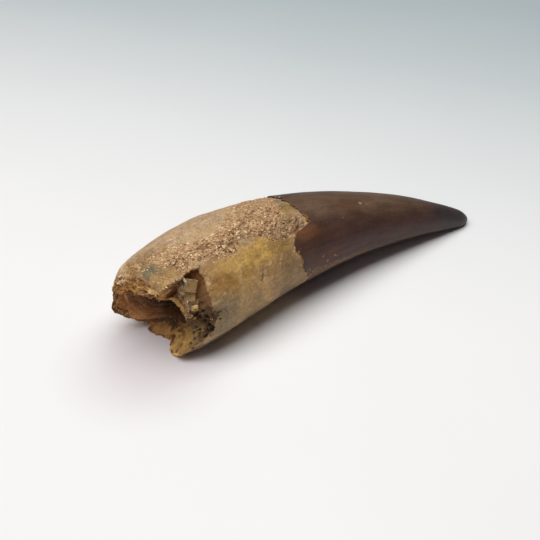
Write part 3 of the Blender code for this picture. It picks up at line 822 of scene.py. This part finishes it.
wander = lumps(plain, (6.0, 0.45), (2.0, 0.2), seed=52.0)
stain_and_painted_light = np.full((*station.shape, 3), linear(ENAMEL)[:3])
for at, size, code, strength in ENAMEL_STAINS_AND_SHEEN:
    stain_and_painted_light = painted(stain_and_painted_light, strength * patch(station, angle, at, size, wander), code)
thin = ease(0.7, 0.0, station - edge) * (0.05 + 0.95 * ease(112, 118, angle) * ease(129, 126, angle))
crown = mesh_object("enamel_crown", points, faces, {
    "stain_and_painted_light": with_ends(over_edge(stain_and_painted_light), 3),
    "lengthwise": with_ends(over_edge(lengthwise(station, angle)), 3),
    "thin": with_ends(over_edge(thin)), "worn": with_ends(over_edge(worn)),
    "chipped": with_ends(over_edge(chipped)),
})

# Polished enamel: fossil apatite stained dark brown, glossy under a fine satin of wear. Thin
# places at the broken edge let amber light through.
enamel, tree, shader, place = new_material("polished_enamel")
stain_with_painted_light = add(tree, "Attribute", {}, "Vector", attribute_name="stain_and_painted_light")
along_tooth = add(tree, "Attribute", {}, "Vector", attribute_name="lengthwise")
cloud = add(tree, "TexNoise", {"Vector": place, "Scale": per_mm(7), "Detail": 5.0, "Roughness": 0.6})
stretched = add(tree, "Mapping", {"Vector": along_tooth, "Scale": (0.05, 0.55, 0.55)})
streak = add(tree, "TexNoise", {"Vector": stretched, "Scale": 1.0, "Detail": 5.0, "Roughness": 0.6})
fine = add(tree, "TexNoise", {"Vector": place, "Scale": per_mm(0.8), "Detail": 3.0, "Roughness": 0.6})
colour = shaded(tree, stain_with_painted_light, cloud, 0.84, 1.16)
colour = shaded(tree, colour, streak, 0.82, 1.2)
colour = shaded(tree, colour, fine, 0.86, 1.14)
amount = add(tree, "Attribute", {}, "Fac", attribute_name="thin")
colour = add(tree, "Mix", {0: amount, 6: colour, 7: linear("#9a6a2c")}, 2, data_type="RGBA")
bare = add(tree, "ValToRGB", {"Fac": fine}, stops=((0.35, "#573d2b"), (0.68, "#8a6b50")))
rubbed = add(tree, "Attribute", {}, "Fac", attribute_name="worn")
colour = add(tree, "Mix", {0: rubbed, 6: colour, 7: bare}, 2, data_type="RGBA")
amount = add(tree, "Attribute", {}, "Fac", attribute_name="chipped")
colour = add(tree, "Mix", {0: amount, 6: colour, 7: linear("#a98d6c")}, 2, data_type="RGBA")
gloss = add(tree, "MapRange", {0: cloud, 1: 0.3, 2: 0.7, 3: 0.38, 4: 0.48})
gloss = add(tree, "Mix", {0: rubbed, 2: gloss, 3: 0.62})
bump = add(tree, "Bump", {"Height": fine, "Strength": 0.15, "Distance": 0.08 * MM})
connect(tree, shader, {
    "Base Color": colour, "Roughness": gloss, "IOR": 1.62, "Specular IOR Level": 0.16, "Normal": bump})
crown.data.materials.append(enamel)
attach(crown, "root")
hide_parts("tooth")


# ================================================================ The sandstone crust
# A patch of the rock that the tooth lay in: coarse sand cemented to the top of the root and over
# the enamel's lower edge. Where it was cleaned it is thin, and loose grains spread past it.

CRUST_TOP_EDGE = (
    (2, 76), (3.8, 80), (5.2, 82), (7.8, 86), (11, 91), (13.8, 96), (17.5, 101), (21, 98),
    (24.8, 95), (27.8, 86), (31, 80), (34, 70), (36.5, 62), (40, 50), (43, 46), (46, 48),
)
CRUST_FRONT_EDGE = (
    (2, 84), (3.2, 98), (4.2, 112), (6, 115), (9.5, 116), (12, 116), (14.5, 120), (17, 125),
    (20.5, 128), (22.5, 124), (24.5, 119), (26.5, 117), (29, 121), (32, 127), (35, 131),
    (37.5, 132), (39.5, 122), (41.5, 112), (43, 100), (46, 72),
)
# How far the crust stands off the root, how deep its bed lies in it, and how far its rim tucks in.
CRUST_RISE = 0.2
CRUST_BED = 1.0
CRUST_TUCK = 0.25
CRUST_LUMPS = ((3.2, 0.34), (1.3, 0.32), (0.6, 0.2))
CREVICES = (2.3, 0.45)
CRUST_ROWS = 250
CRUST_COLUMNS = 130
GRAIN_COUNT = 4700
GRAIN_SIZES = (0.45, 1.6)
GRAIN_SHAPES = ((0.4, 0.25), (0.8, 0.55))
GRAIN_TILT = 0.32
STRAY_COUNT = 1500
STRAY_REACH = 5.0
STRAY_STATIONS = (-2, 48)
STRAYS_ABOVE = 0.75
# The root's mean radius, which turns mm round it into degrees.
ROOT_RADIUS = 16
# Clusters of loose grains as (station, angle), their spread in mm and their number.
CLUSTERS = (
    ((2.5, 70), 1.6, 40), ((-0.5, 73), 1.4, 60), ((0, 84), 2.0, 40), ((1, 106), 2.6, 150),
    ((-0.5, 111), 2.0, 90), ((5, 115), 2.0, 60), ((-0.5, 60), 1.4, 40), ((26, 88), 1.6, 60),
    ((44, 190), 1.4, 24), ((40.5, 157), 0.9, 24), ((41, 112), 2.0, 60), ((39, 128), 1.6, 50),
    ((4, 98), 2.0, 60), ((9.6, 131), 0.5, 8), ((38, 84), 1.6, 40), ((34, 74), 1.6, 30),
)

draw = np.random.default_rng(26)


def outward(station, angle):
    """Unit vectors straight out of the outer surface."""
    here = on_surface(station, angle)
    normal = np.cross(on_surface(station, angle + 1) - here, on_surface(station + 0.5, angle) - here)
    return normal / np.linalg.norm(normal, axis=-1, keepdims=True)


def crevice(plain):
    """1 in the deep cracks between clumps of the crust, 0 on the clumps."""
    shifted = plain + lumps(plain, (1.6, 0.8), (0.6, 0.4), seed=81.0)[..., None]
    here_and_there = ease(-0.2, 0.15, lumps(plain, (4.0, 1.0), seed=83.0))
    return ease(0.2, 0.06, cells(shifted, CREVICES[0], seed=8.0)) * here_and_there


def crust_lift(station, angle):
    """How far the crust's surface stands off the plain root, thinner towards its edges."""
    low, high = smooth(CRUST_TOP_EDGE, station), smooth(CRUST_FRONT_EDGE, station)
    from_ends = np.minimum(station - CRUST_TOP_EDGE[0][0], CRUST_TOP_EDGE[-1][0] - station) / 3
    from_edges = np.minimum(angle - low, high - angle) / 12
    inner = ease(0, 1, np.minimum(from_ends, from_edges))
    plain = on_surface(station, angle)
    own = CRUST_RISE + lumps(plain, *CRUST_LUMPS) - 0.35 * ease(105, 85, angle)
    own = own - CREVICES[1] * crevice(plain)
    return weathered_lift(plain) + 0.05 + (own - weathered_lift(plain)) * inner


station = np.linspace(CRUST_TOP_EDGE[0][0], CRUST_TOP_EDGE[-1][0], CRUST_ROWS)
low, high = smooth(CRUST_TOP_EDGE, station), smooth(CRUST_FRONT_EDGE, station)
low = low + lumps(on_surface(station, low), (2.2, 3.5), (0.8, 2.5), seed=31.0)
high = high + lumps(on_surface(station, high), (2.2, 3.0), (0.8, 2.0), seed=33.0)
share = np.linspace(0, 1, CRUST_COLUMNS)
angle = low[:, None] + (high - low)[:, None] * share
station = np.broadcast_to(station[:, None], angle.shape)
rise = crust_lift(station, angle)
from_border = np.minimum(share, 1 - share) * (CRUST_COLUMNS - 1)
top = on_surface(station, angle, rise - CRUST_TUCK * (from_border[None] < 0.5))
bed = on_surface(station, angle, np.full(angle.shape, -CRUST_BED))
rows, columns = angle.shape
index = np.arange(rows * columns).reshape(rows, columns)
cell = np.stack([index[:-1, :-1], index[1:, :-1], index[1:, 1:], index[:-1, 1:]], -1).reshape(-1, 4)
border = np.concatenate([index[:, 0], index[-1, 1:], index[-2::-1, -1], index[0, -2:0:-1]])
following = np.roll(border, -1)
below = rows * columns
walls = np.stack([border, border + below, following + below, following], -1)
faces = np.concatenate([cell[:, ::-1], cell + below, walls[:, ::-1]])
points = np.concatenate([top.reshape(-1, 3), bed.reshape(-1, 3)])
plain = on_surface(station, angle)
hollows = lumps(plain, *CRUST_LUMPS[1:]) - 0.25 * crevice(plain)
height = np.concatenate([hollows.ravel(), np.zeros(rows * columns)])
crust = mesh_object("sandstone_crust", points, faces.tolist(), {"height": height[:, None]})

# What the grains lie on, and how far in mm one that would hang in the air sinks into it.
SUNK = 0.05
corners, sides = [], []
for piece in (root, crown, crust):
    sides += [[len(corners) + corner for corner in side.vertices] for side in piece.data.polygons]
    corners += [vertex.co / MM for vertex in piece.data.vertices]
beneath = BVHTree.FromPolygons(corners, sides)

ICO = (1 + 5**0.5) / 2
GRAIN_POINTS = np.array([
    (-1, ICO, 0), (1, ICO, 0), (-1, -ICO, 0), (1, -ICO, 0), (0, -1, ICO), (0, 1, ICO),
    (0, -1, -ICO), (0, 1, -ICO), (ICO, 0, -1), (ICO, 0, 1), (-ICO, 0, -1), (-ICO, 0, 1),
]) / 1.9
GRAIN_FACES = np.array([
    (0, 11, 5), (0, 5, 1), (0, 1, 7), (0, 7, 10), (0, 10, 11), (1, 5, 9), (5, 11, 4), (11, 10, 2),
    (10, 7, 6), (7, 1, 8), (3, 9, 4), (3, 4, 2), (3, 2, 6), (3, 6, 8), (3, 8, 9), (4, 9, 5),
    (2, 4, 11), (6, 2, 10), (8, 6, 7), (9, 8, 1),
])


def settled(points, sunk=SUNK):
    """Moves each grain that touches nothing until its nearest corner is a little way in."""
    for grain in points:
        off = []
        for corner in grain:
            there, normal, _, distance = beneath.find_nearest(Vector(corner))
            way = there - Vector(corner)
            off.append((distance if way.dot(normal) < 0 else 0, way))
        distance, way = min(off, key=lambda found: found[0])
        if distance > 0:
            grain += np.array(way) * (1 + sunk / distance)
    return points


def grains(name, places, normals, sizes, proportions, tilt):
    """Angular grains as one mesh, each lying nearly flat and marked with its own tone.

    Proportions are the least and greatest (width, thickness) for a length of one.
    """
    count = len(places)
    up = normals + tilt * draw.normal(size=(count, 3))
    up = up / np.linalg.norm(up, axis=1, keepdims=True)
    long = np.cross(up, draw.normal(size=(count, 3)))
    long = long / np.linalg.norm(long, axis=1, keepdims=True)
    wide = np.cross(up, long)
    least, most = np.array(proportions)
    width, thickness = (least + (most - least) * draw.uniform(0, 1, (count, 2))).T * sizes
    shape = GRAIN_POINTS * draw.uniform(0.65, 1.15, (count, 12, 1)) / 2
    points = places[:, None] + shape[..., :1] * (long * sizes[:, None])[:, None]
    points = points + shape[..., 1:2] * (wide * width[:, None])[:, None]
    points = points + shape[..., 2:] * (up * thickness[:, None])[:, None]
    points = settled(points)
    points[..., 2] = np.maximum(points[..., 2], 0)
    faces = (GRAIN_FACES[None] + 12 * np.arange(count)[:, None, None]).reshape(-1, 3)
    tone = np.repeat(draw.uniform(0, 1, count), 12)
    made = mesh_object(name, points.reshape(-1, 3), faces.tolist(), {"tone": tone[:, None]})
    made.data.polygons.foreach_set("use_smooth", np.zeros(len(faces), bool))
    return made


def sizes_of(count, smallest, largest):
    """Grain sizes, with many small ones and few large ones."""
    return smallest + (largest - smallest) * draw.uniform(0, 1, count) ** 2.2


station = draw.uniform(CRUST_TOP_EDGE[0][0], CRUST_TOP_EDGE[-1][0], GRAIN_COUNT)
low, high = smooth(CRUST_TOP_EDGE, station), smooth(CRUST_FRONT_EDGE, station)
angle = low + (high - low) * draw.uniform(-0.04, 1.04, GRAIN_COUNT)
lift = crust_lift(station, np.clip(angle, low, high)) + draw.uniform(-0.15, 0.04, GRAIN_COUNT)
lift -= 0.12 * ease(105, 85, angle) + 0.25 * ease(0.88, 1, (angle - low) / (high - low))
lift -= 0.35 * crevice(on_surface(station, angle))
places, normals = on_surface(station, angle, lift), outward(station, angle)

# Stray grains thin out from the crust's two edges, and gather in the clusters.
stray_station = draw.uniform(*STRAY_STATIONS, STRAY_COUNT)
inside = np.clip(stray_station, CRUST_TOP_EDGE[0][0], CRUST_TOP_EDGE[-1][0])
away = np.degrees(STRAY_REACH * draw.exponential(0.5, STRAY_COUNT) / ROOT_RADIUS)
stray_angle = np.where(
    draw.uniform(0, 1, STRAY_COUNT) < STRAYS_ABOVE,
    smooth(CRUST_TOP_EDGE, inside) - away, smooth(CRUST_FRONT_EDGE, inside) + 0.3 * away)
strays = [(stray_station, stray_angle)]
for (at_station, at_angle), spread, count in CLUSTERS:
    along, round_it = spread * draw.normal(size=(2, count))
    strays.append((at_station + along, at_angle + np.degrees(round_it / ROOT_RADIUS)))
station, angle = np.concatenate(strays, axis=1)
on_tooth = station > around(RIM, angle) + 0.5
station, angle = station[on_tooth], angle[on_tooth]
on_enamel = station > around(ENAMEL_EDGE, angle)
lying = np.where(on_enamel, ENAMEL_THICKNESS / 2, weathered_lift(on_surface(station, angle))) - 0.08
places = np.concatenate([places, on_surface(station, angle, lying)])
normals = np.concatenate([normals, outward(station, angle)])
lying_loose = len(places) - GRAIN_COUNT
sizes = np.concatenate([
    sizes_of(GRAIN_COUNT, *GRAIN_SIZES), 0.6 * sizes_of(lying_loose, *GRAIN_SIZES)])
sand = grains("sand_grains", places, normals, sizes, GRAIN_SHAPES, GRAIN_TILT)

# Sandstone: quartz grains in an iron-stained cement, dull, with a few clear or dark grains.
cement, tree, shader, place = new_material("sandstone_cement")
fine = add(tree, "TexNoise", {"Vector": place, "Scale": per_mm(0.8), "Detail": 5.0, "Roughness": 0.7})
sandy = add(tree, "ValToRGB", {"Fac": fine}, stops=(
    (0.3, "#87603c"), (0.72, "#d4b086"), (0.5, "#b08a62")))
depth = add(tree, "Attribute", {}, "Fac", attribute_name="height")
amount = add(tree, "MapRange", {0: depth, 1: -0.06, 2: -0.25, 3: 0.0, 4: 0.6})
colour = add(tree, "Mix", {0: amount, 6: sandy, 7: linear("#553620")}, 2, data_type="RGBA")
bump = add(tree, "Bump", {"Height": fine, "Strength": 0.8, "Distance": 0.35 * MM})
connect(tree, shader, {"Base Color": colour, "Roughness": 0.9, "IOR": 1.5, "Normal": bump})
crust.data.materials.append(cement)

quartz, tree, shader, place = new_material("quartz_sand")
own = add(tree, "Attribute", {}, "Fac", attribute_name="tone")
colour = add(tree, "ValToRGB", {"Fac": own}, stops=(
    (0.0, "#805836"), (1.0, "#f2dab2"), (0.2, "#ab835a"), (0.6, "#cba578"), (0.88, "#dab98b")))
fine = add(tree, "TexNoise", {"Vector": place, "Scale": per_mm(0.3), "Detail": 3.0})
colour = shaded(tree, colour, fine, 0.82, 1.15)
bump = add(tree, "Bump", {"Height": fine, "Strength": 0.4, "Distance": 0.1 * MM})
connect(tree, shader, {"Base Color": colour, "Roughness": 0.75, "IOR": 1.54, "Normal": bump})
sand.data.materials.append(quartz)
for piece in (crust, sand):
    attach(piece, "root")
    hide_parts("matrix_crust")


# ================================================================ The splinters of the broken end
# Thin flakes of dentine that hang on along the layers of the broken wall, and crumbs in its pits.
# They are the same mineralised dentine as the break itself.

FLAKE_COUNT = 200
FLAKE_SIZES = (0.6, 1.8)
FLAKE_ANGLES = (-22, 118)
CRUMB_COUNT = 320
CRUMB_SIZES = (0.25, 0.8)
SPLINTER_SHAPES = ((0.3, 0.06), (0.6, 0.2))
SPLINTER_TILT = 0.25
# How far in mm their middles lie off the break.
FLAKE_RAISED = 0.15
CRUMB_RAISED = -0.02

ends = np.empty(len(root.data.vertices) * 3)
root.data.vertices.foreach_get("normal", ends)
ends = ends.reshape(-1, 3)
spots = np.array([vertex.co for vertex in root.data.vertices]) / MM
face_rows = np.arange(ROOT_ROWS + 11, ROOT_ROWS + FACE_ROWS)[:, None]
of_face = face_rows * ROOT_COLUMNS + np.arange(ROOT_COLUMNS)
signed = turn_from(face_angle[0], 0)
upper = of_face[:, (signed > FLAKE_ANGLES[0]) & (signed < FLAKE_ANGLES[1])].ravel()
lower = of_face[:, (signed < FLAKE_ANGLES[0]) | (signed > PITTED_ANGLES[0])].ravel()
gaps = np.diff(face_angle[0], append=360.0)
odds = gaps[upper % ROOT_COLUMNS]
upper = draw.choice(upper, FLAKE_COUNT, p=odds / odds.sum())
lower = draw.choice(lower, CRUMB_COUNT)
chosen = np.concatenate([upper, lower])
middle = centre(np.array([-2.0]))[0]
shells = spots[chosen] - middle
shells[:, 0] = 0
shells[FLAKE_COUNT:] = ends[chosen[FLAKE_COUNT:]]
shells = shells / np.linalg.norm(shells, axis=1, keepdims=True)
sizes = np.concatenate([
    sizes_of(FLAKE_COUNT, *FLAKE_SIZES), sizes_of(CRUMB_COUNT, *CRUMB_SIZES)])
raised = np.repeat([FLAKE_RAISED, CRUMB_RAISED], [FLAKE_COUNT, CRUMB_COUNT])
flakes = grains(
    "dentine_flakes", spots[chosen] + raised[:, None] * ends[chosen], shells, sizes,
    SPLINTER_SHAPES, SPLINTER_TILT)

flaky, tree, shader, place = new_material("dentine_splinters")
own = add(tree, "Attribute", {}, "Fac", attribute_name="tone")
colour = add(tree, "ValToRGB", {"Fac": own}, stops=(
    (0.0, "#6e4522"), (1.0, "#e2c898"), (0.3, "#9a6a34"), (0.6, "#b8894c"), (0.86, "#d0aa70")))
fine = add(tree, "TexNoise", {"Vector": place, "Scale": per_mm(0.4), "Detail": 3.0})
colour = shaded(tree, colour, fine, 0.75, 1.2)
bump = add(tree, "Bump", {"Height": fine, "Strength": 0.4, "Distance": 0.1 * MM})
connect(tree, shader, {"Base Color": colour, "Roughness": 0.5, "IOR": 1.6, "Normal": bump})
flakes.data.materials.append(flaky)
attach(flakes, "root")
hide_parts("tooth")


# ================================================================ The calcite crystals
# Calcite that grew in a notch of the broken wall: a few clear rhombs, leaning together, over a
# crust of small ones. Their faces are flat, natural cleavage.

# Each crystal's place as (station, angle, share of the way out), its size in mm, where one of
# its faces points (a heading, a height and a turn about that), and its kind: clear, honey-coloured
# or a white sliver along a cleavage crack, whitened further as a painted glint.
CRYSTALS = (
    (5.2, 121.3, 0.67, (3.4, 3.4, 3.6), (228, 50, 38), 0),
    (5.2, 129.5, 0.81, (3.2, 3.6, 3.0), (206, 24, -14), 0),
    (4.8, 129.5, 0.54, (3.0, 3.8, 3.0), (228, 44, 24), 0),
    (4.8, 142.2, 0.67, (3.2, 3.6, 3.0), (236, 34, 10), 0),
    (4.6, 144.1, 0.46, (2.8, 3.6, 2.8), (214, 26, -20), 0),
    (4.2, 162, 0.43, (2.6, 3.2, 2.6), (222, 38, 12), 0),
    (4.4, 156.2, 0.6, (2.8, 3.2, 2.8), (200, 18, -8), 0),
    (4.0, 181, 0.42, (2.4, 3.4, 2.4), (212, 26, 30), 0),
    (3.4, 157, 0.78, (1.4, 1.1, 1.5), (232, 44, 25), 1),
    # Kind 2: white cleavage slivers, turned to catch the light overhead and whitened as painted glints.
    (4.15, 122.2, 0.785, (0.6, 2.6, 0.7), (221, 62, 22), 2),
    (4.5, 123.9, 0.93, (0.45, 2.0, 0.7), (221, 62, 35), 2),
    (2.8, 146, 0.7, (0.5, 0.9, 0.7), (221, 62, 10), 2),
    (3.25, 168, 0.53, (0.45, 0.8, 0.7), (221, 62, 40), 2),
    (3.5, 157, 0.7, (0.5, 0.7, 0.7), (221, 62, 75), 2),
)
CALCITE_LEAN = 0.27
SMALL_COUNT = 20
SMALL_SIZES = (0.5, 1.2)
SMALL_ANGLES = (134, 184)
SMALL_STATIONS = (2.8, 3.6)
# How far out the small ones lie, by angle, and how much that scatters.
SMALL_SHARES = ((130, 0.76), (150, 0.62), (184, 0.5))
SMALL_SCATTER = 0.07
CRYSTAL_BEVEL = 0.1


def rhomb(place, size, spin):
    """The eight corners of one leaning calcite rhomb."""
    corners = np.array([(x, y, z) for x in (-0.5, 0.5) for y in (-0.5, 0.5) for z in (-0.5, 0.5)])
    lean = np.array([(1, 0, CALCITE_LEAN), (0, 1, CALCITE_LEAN), (0, 0, 1)])
    return (np.array(spin.to_3x3()) @ lean @ (corners * size).T).T + place


def in_notch(station, angle, share_out):
    """A point in the notch, at a share of the way out from the centreline."""
    where = np.array([station]), np.array([angle])
    to_side, upwards = outline(*where, 0.0)
    return in_section(where[0], to_side * share_out, upwards * share_out)[0]


bodies = []
for station, angle, share_out, size, (heading, height, spin), kind in CRYSTALS:
    heading, height, spin = np.radians((heading, height, spin))
    level = np.cos(height)
    facing = Vector((np.sin(heading) * level, np.cos(heading) * level, np.sin(height)))
    turned = facing.to_track_quat("Z", "Y").to_matrix().to_4x4() @ Matrix.Rotation(spin, 4, "Z")
    bodies.append(rhomb(in_notch(station, angle, share_out), size, turned))
for _ in range(SMALL_COUNT):
    angle = draw.uniform(*SMALL_ANGLES)
    share_out = np.interp(angle, *np.array(SMALL_SHARES).T) + draw.normal(0, SMALL_SCATTER)
    place = in_notch(draw.uniform(*SMALL_STATIONS), angle, share_out)
    size = draw.uniform(*SMALL_SIZES) * draw.uniform(0.7, 1.1, 3)
    spin = Quaternion(draw.normal(size=4)).normalized().to_matrix()
    bodies.append(rhomb(place, size, spin.to_4x4()))
BOX_FACES = [(0, 1, 3, 2), (4, 6, 7, 5), (0, 4, 5, 1), (2, 3, 7, 6), (0, 2, 6, 4), (1, 5, 7, 3)]

# A crystal that meets no other is grown into the wall, past its own rounded corner.
CRYSTAL_SUNK = 0.25
hulls = [BVHTree.FromPolygons(body.tolist(), BOX_FACES) for body in bodies]
for body, hull in zip(bodies, hulls):
    if sum(bool(hull.overlap(other)) for other in hulls) == 1:
        settled(body[None], CRYSTAL_SUNK)


def crystal_mesh(name, group):
    """Flat-faced crystals as one mesh, from the eight corners of each."""
    faces = [tuple(8 * k + i for i in face) for k in range(len(group)) for face in BOX_FACES]
    made = mesh_object(name, np.concatenate(group), faces, {})
    made.data.polygons.foreach_set("use_smooth", np.zeros(len(faces), bool))
    return made


# Calcite: clear, with a faint warm body colour from iron and clay in it, one small honey-coloured
# rhomb, and paler slivers along the cleavage cracks, whose white is partly a painted glint.
kinds = []
for name, face_colour, body_colour, density in (
    ("clear_calcite", "#f0c88e", "#ceaa78", 105.0), ("honey_calcite", "#d8b450", "#c49a3c", 500.0),
    ("cracked_calcite_and_glint", "#f8e4c8", "#ecd8bc", 100.0),
):
    calcite, tree, shader, place = new_material(name)
    veil = add(tree, "TexNoise", {"Vector": place, "Scale": per_mm(1.6), "Detail": 4.0})
    gloss = add(tree, "MapRange", {0: veil, 1: 0.35, 2: 0.65, 3: 0.05, 4: 0.14})
    bump = add(tree, "Bump", {"Height": veil, "Strength": 0.25, "Distance": 0.2 * MM})
    tint = shaded(tree, linear(face_colour)[:3], veil, 0.8, 1.2)
    connect(tree, shader, {
        "Base Color": tint, "Roughness": gloss, "IOR": 1.6,
        "Transmission Weight": 0.7, "Specular Tint": linear("#fff0dc"), "Normal": bump,
    })
    haze = add(tree, "VolumeAbsorption", {"Color": linear(body_colour), "Density": density})
    tree.links.new(haze, tree.nodes["Material Output"].inputs["Volume"])
    kinds.append(calcite)

crystals = crystal_mesh("calcite_cluster", bodies[:1])
others = crystal_mesh("other_crystals", bodies[1:])
kind_of_each = np.zeros(len(bodies) - 1, np.int32)
kind_of_each[: len(CRYSTALS) - 1] = [crystal[-1] for crystal in CRYSTALS[1:]]
for piece in (crystals, others):
    for calcite in kinds:
        piece.data.materials.append(calcite)
others.data.polygons.foreach_set("material_index", np.repeat(kind_of_each, len(BOX_FACES)))
for piece in (crystals, others):
    edges = piece.modifiers.new("worn edges", "BEVEL")
    edges.width = CRYSTAL_BEVEL * MM
    edges.segments = 1
    edges.limit_method = "NONE"
grown = crystals.modifiers.new("grown together", "BOOLEAN")
grown.operation = "UNION"
grown.solver = "EXACT"
grown.use_self = True
grown.object = others
bpy.context.view_layer.update()
evaluated = crystals.evaluated_get(bpy.context.evaluated_depsgraph_get())
joined = bpy.data.meshes.new_from_object(evaluated)
crystals.modifiers.clear()
crystals.data = joined
bpy.data.objects.remove(others)
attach(crystals, "root")
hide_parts("calcite_crystals")


# ================================================================ The table, lights and camera
# A pale matt table top, painted darker into the distance as a fall-off of the light, with a pinker painted
# shadow beside the broken end, under a long soft box overhead and a weak fill, seen from the broken end
# and above.

VIEW_HEADING = 33.87
VIEW_HEIGHT = 35.0
VIEW_DISTANCE = 300.0
VIEW_ANGLE = 32.0
LOOK_AT = Vector((ROOT_CENTRE[0] + 46.54, ROOT_CENTRE[1] + 13.66, 0.0)) * MM

turn, tilt = np.radians(VIEW_HEADING), np.radians(VIEW_HEIGHT)
ahead = Vector((np.sin(turn), np.cos(turn), 0))
right = Vector((np.cos(turn), -np.sin(turn), 0))
looking = ahead * np.cos(tilt) - Vector((0, 0, np.sin(tilt)))

# The painted shadow on the table top, a pinker patch: its middle, and where it ends and is strongest, in
# metres.
PAINTED_SHADOW_AT = LOOK_AT - ahead * 0.045 - right * 0.034
PAINTED_SHADOW_ENDS, PAINTED_SHADOW_FULL = 0.030, 0.006

bpy.ops.mesh.primitive_plane_add(size=12)
table_top = bpy.context.object
table_top.name = "table_top"
matt, tree, shader, place = new_material("matt_white_laminate")
# The table is painted darker into the distance: a painted fall-off of the light.
away = add(tree, "VectorMath", {0: place, 1: ahead + right * 0.44}, "Value", operation="DOT_PRODUCT")
distance = add(tree, "MapRange", {0: away, 1: -0.02, 2: 0.32}, interpolation_type="SMOOTHSTEP")
colour = add(tree, "ValToRGB", {"Fac": distance}, stops=((0.0, "#f3f2f1"), (1.0, "#b7c2c5")))
# A pinker patch beside the broken end: a painted shadow.
near = add(tree, "VectorMath", {0: place, 1: PAINTED_SHADOW_AT}, "Value", operation="DISTANCE")
painted_shadow = add(tree, "MapRange", {0: near, 1: PAINTED_SHADOW_ENDS, 2: PAINTED_SHADOW_FULL}, interpolation_type="SMOOTHSTEP")
colour = add(tree, "Mix", {0: painted_shadow, 6: colour, 7: linear("#e2dadc")}, 2, data_type="RGBA")
mist = add(tree, "TexNoise", {"Vector": place, "Scale": per_mm(90), "Detail": 2.0})
colour = shaded(tree, colour, mist, 0.985, 1.01)
connect(tree, shader, {"Base Color": colour, "Roughness": 0.7})
table_top.data.materials.append(matt)


def soft_light(name, place, width, depth, power, colour):
    """A soft box that faces the tooth, its long side along the tooth."""
    data = bpy.data.lights.new(name, "AREA")
    data.shape = "RECTANGLE"
    data.size = width
    data.size_y = depth
    data.energy = power
    data.color = linear(colour)[:3]
    made = bpy.data.objects.new(name, data)
    back = place.normalized()
    long_side = (Vector((1, 0, 0)) - back * back.x).normalized()
    turned = Matrix((long_side, back.cross(long_side), back)).transposed()
    made.matrix_world = Matrix.Translation(LOOK_AT + place) @ turned.to_4x4()
    bpy.context.scene.collection.objects.link(made)


soft_light("overhead", Vector((-0.17, 0.02, 1.0)), 1.6, 0.90, 15.4, "#fdfefe")
soft_light("window", Vector((0, 0, 0.6)) - ahead * 0.8 - right * 0.4, 0.5, 0.5, 0.72, "#ffecee")
world = bpy.data.worlds.new("studio")
bpy.context.scene.world = world
world.use_nodes = True
world.node_tree.nodes["Background"].inputs[0].default_value = linear("#f6ecf2")
world.node_tree.nodes["Background"].inputs[1].default_value = 0.03
bpy.context.scene.view_settings.view_transform = "Standard"

camera = bpy.data.objects.new("camera", bpy.data.cameras.new("camera"))
camera.data.sensor_width = 36.0
camera.data.lens = 36.0 / 2 / np.tan(np.radians(VIEW_ANGLE / 2))
camera.data.clip_start = 0.01
camera.location = LOOK_AT - looking * VIEW_DISTANCE * MM
camera.rotation_euler = looking.to_track_quat("-Z", "Y").to_euler()
bpy.context.scene.collection.objects.link(camera)
bpy.context.scene.camera = camera
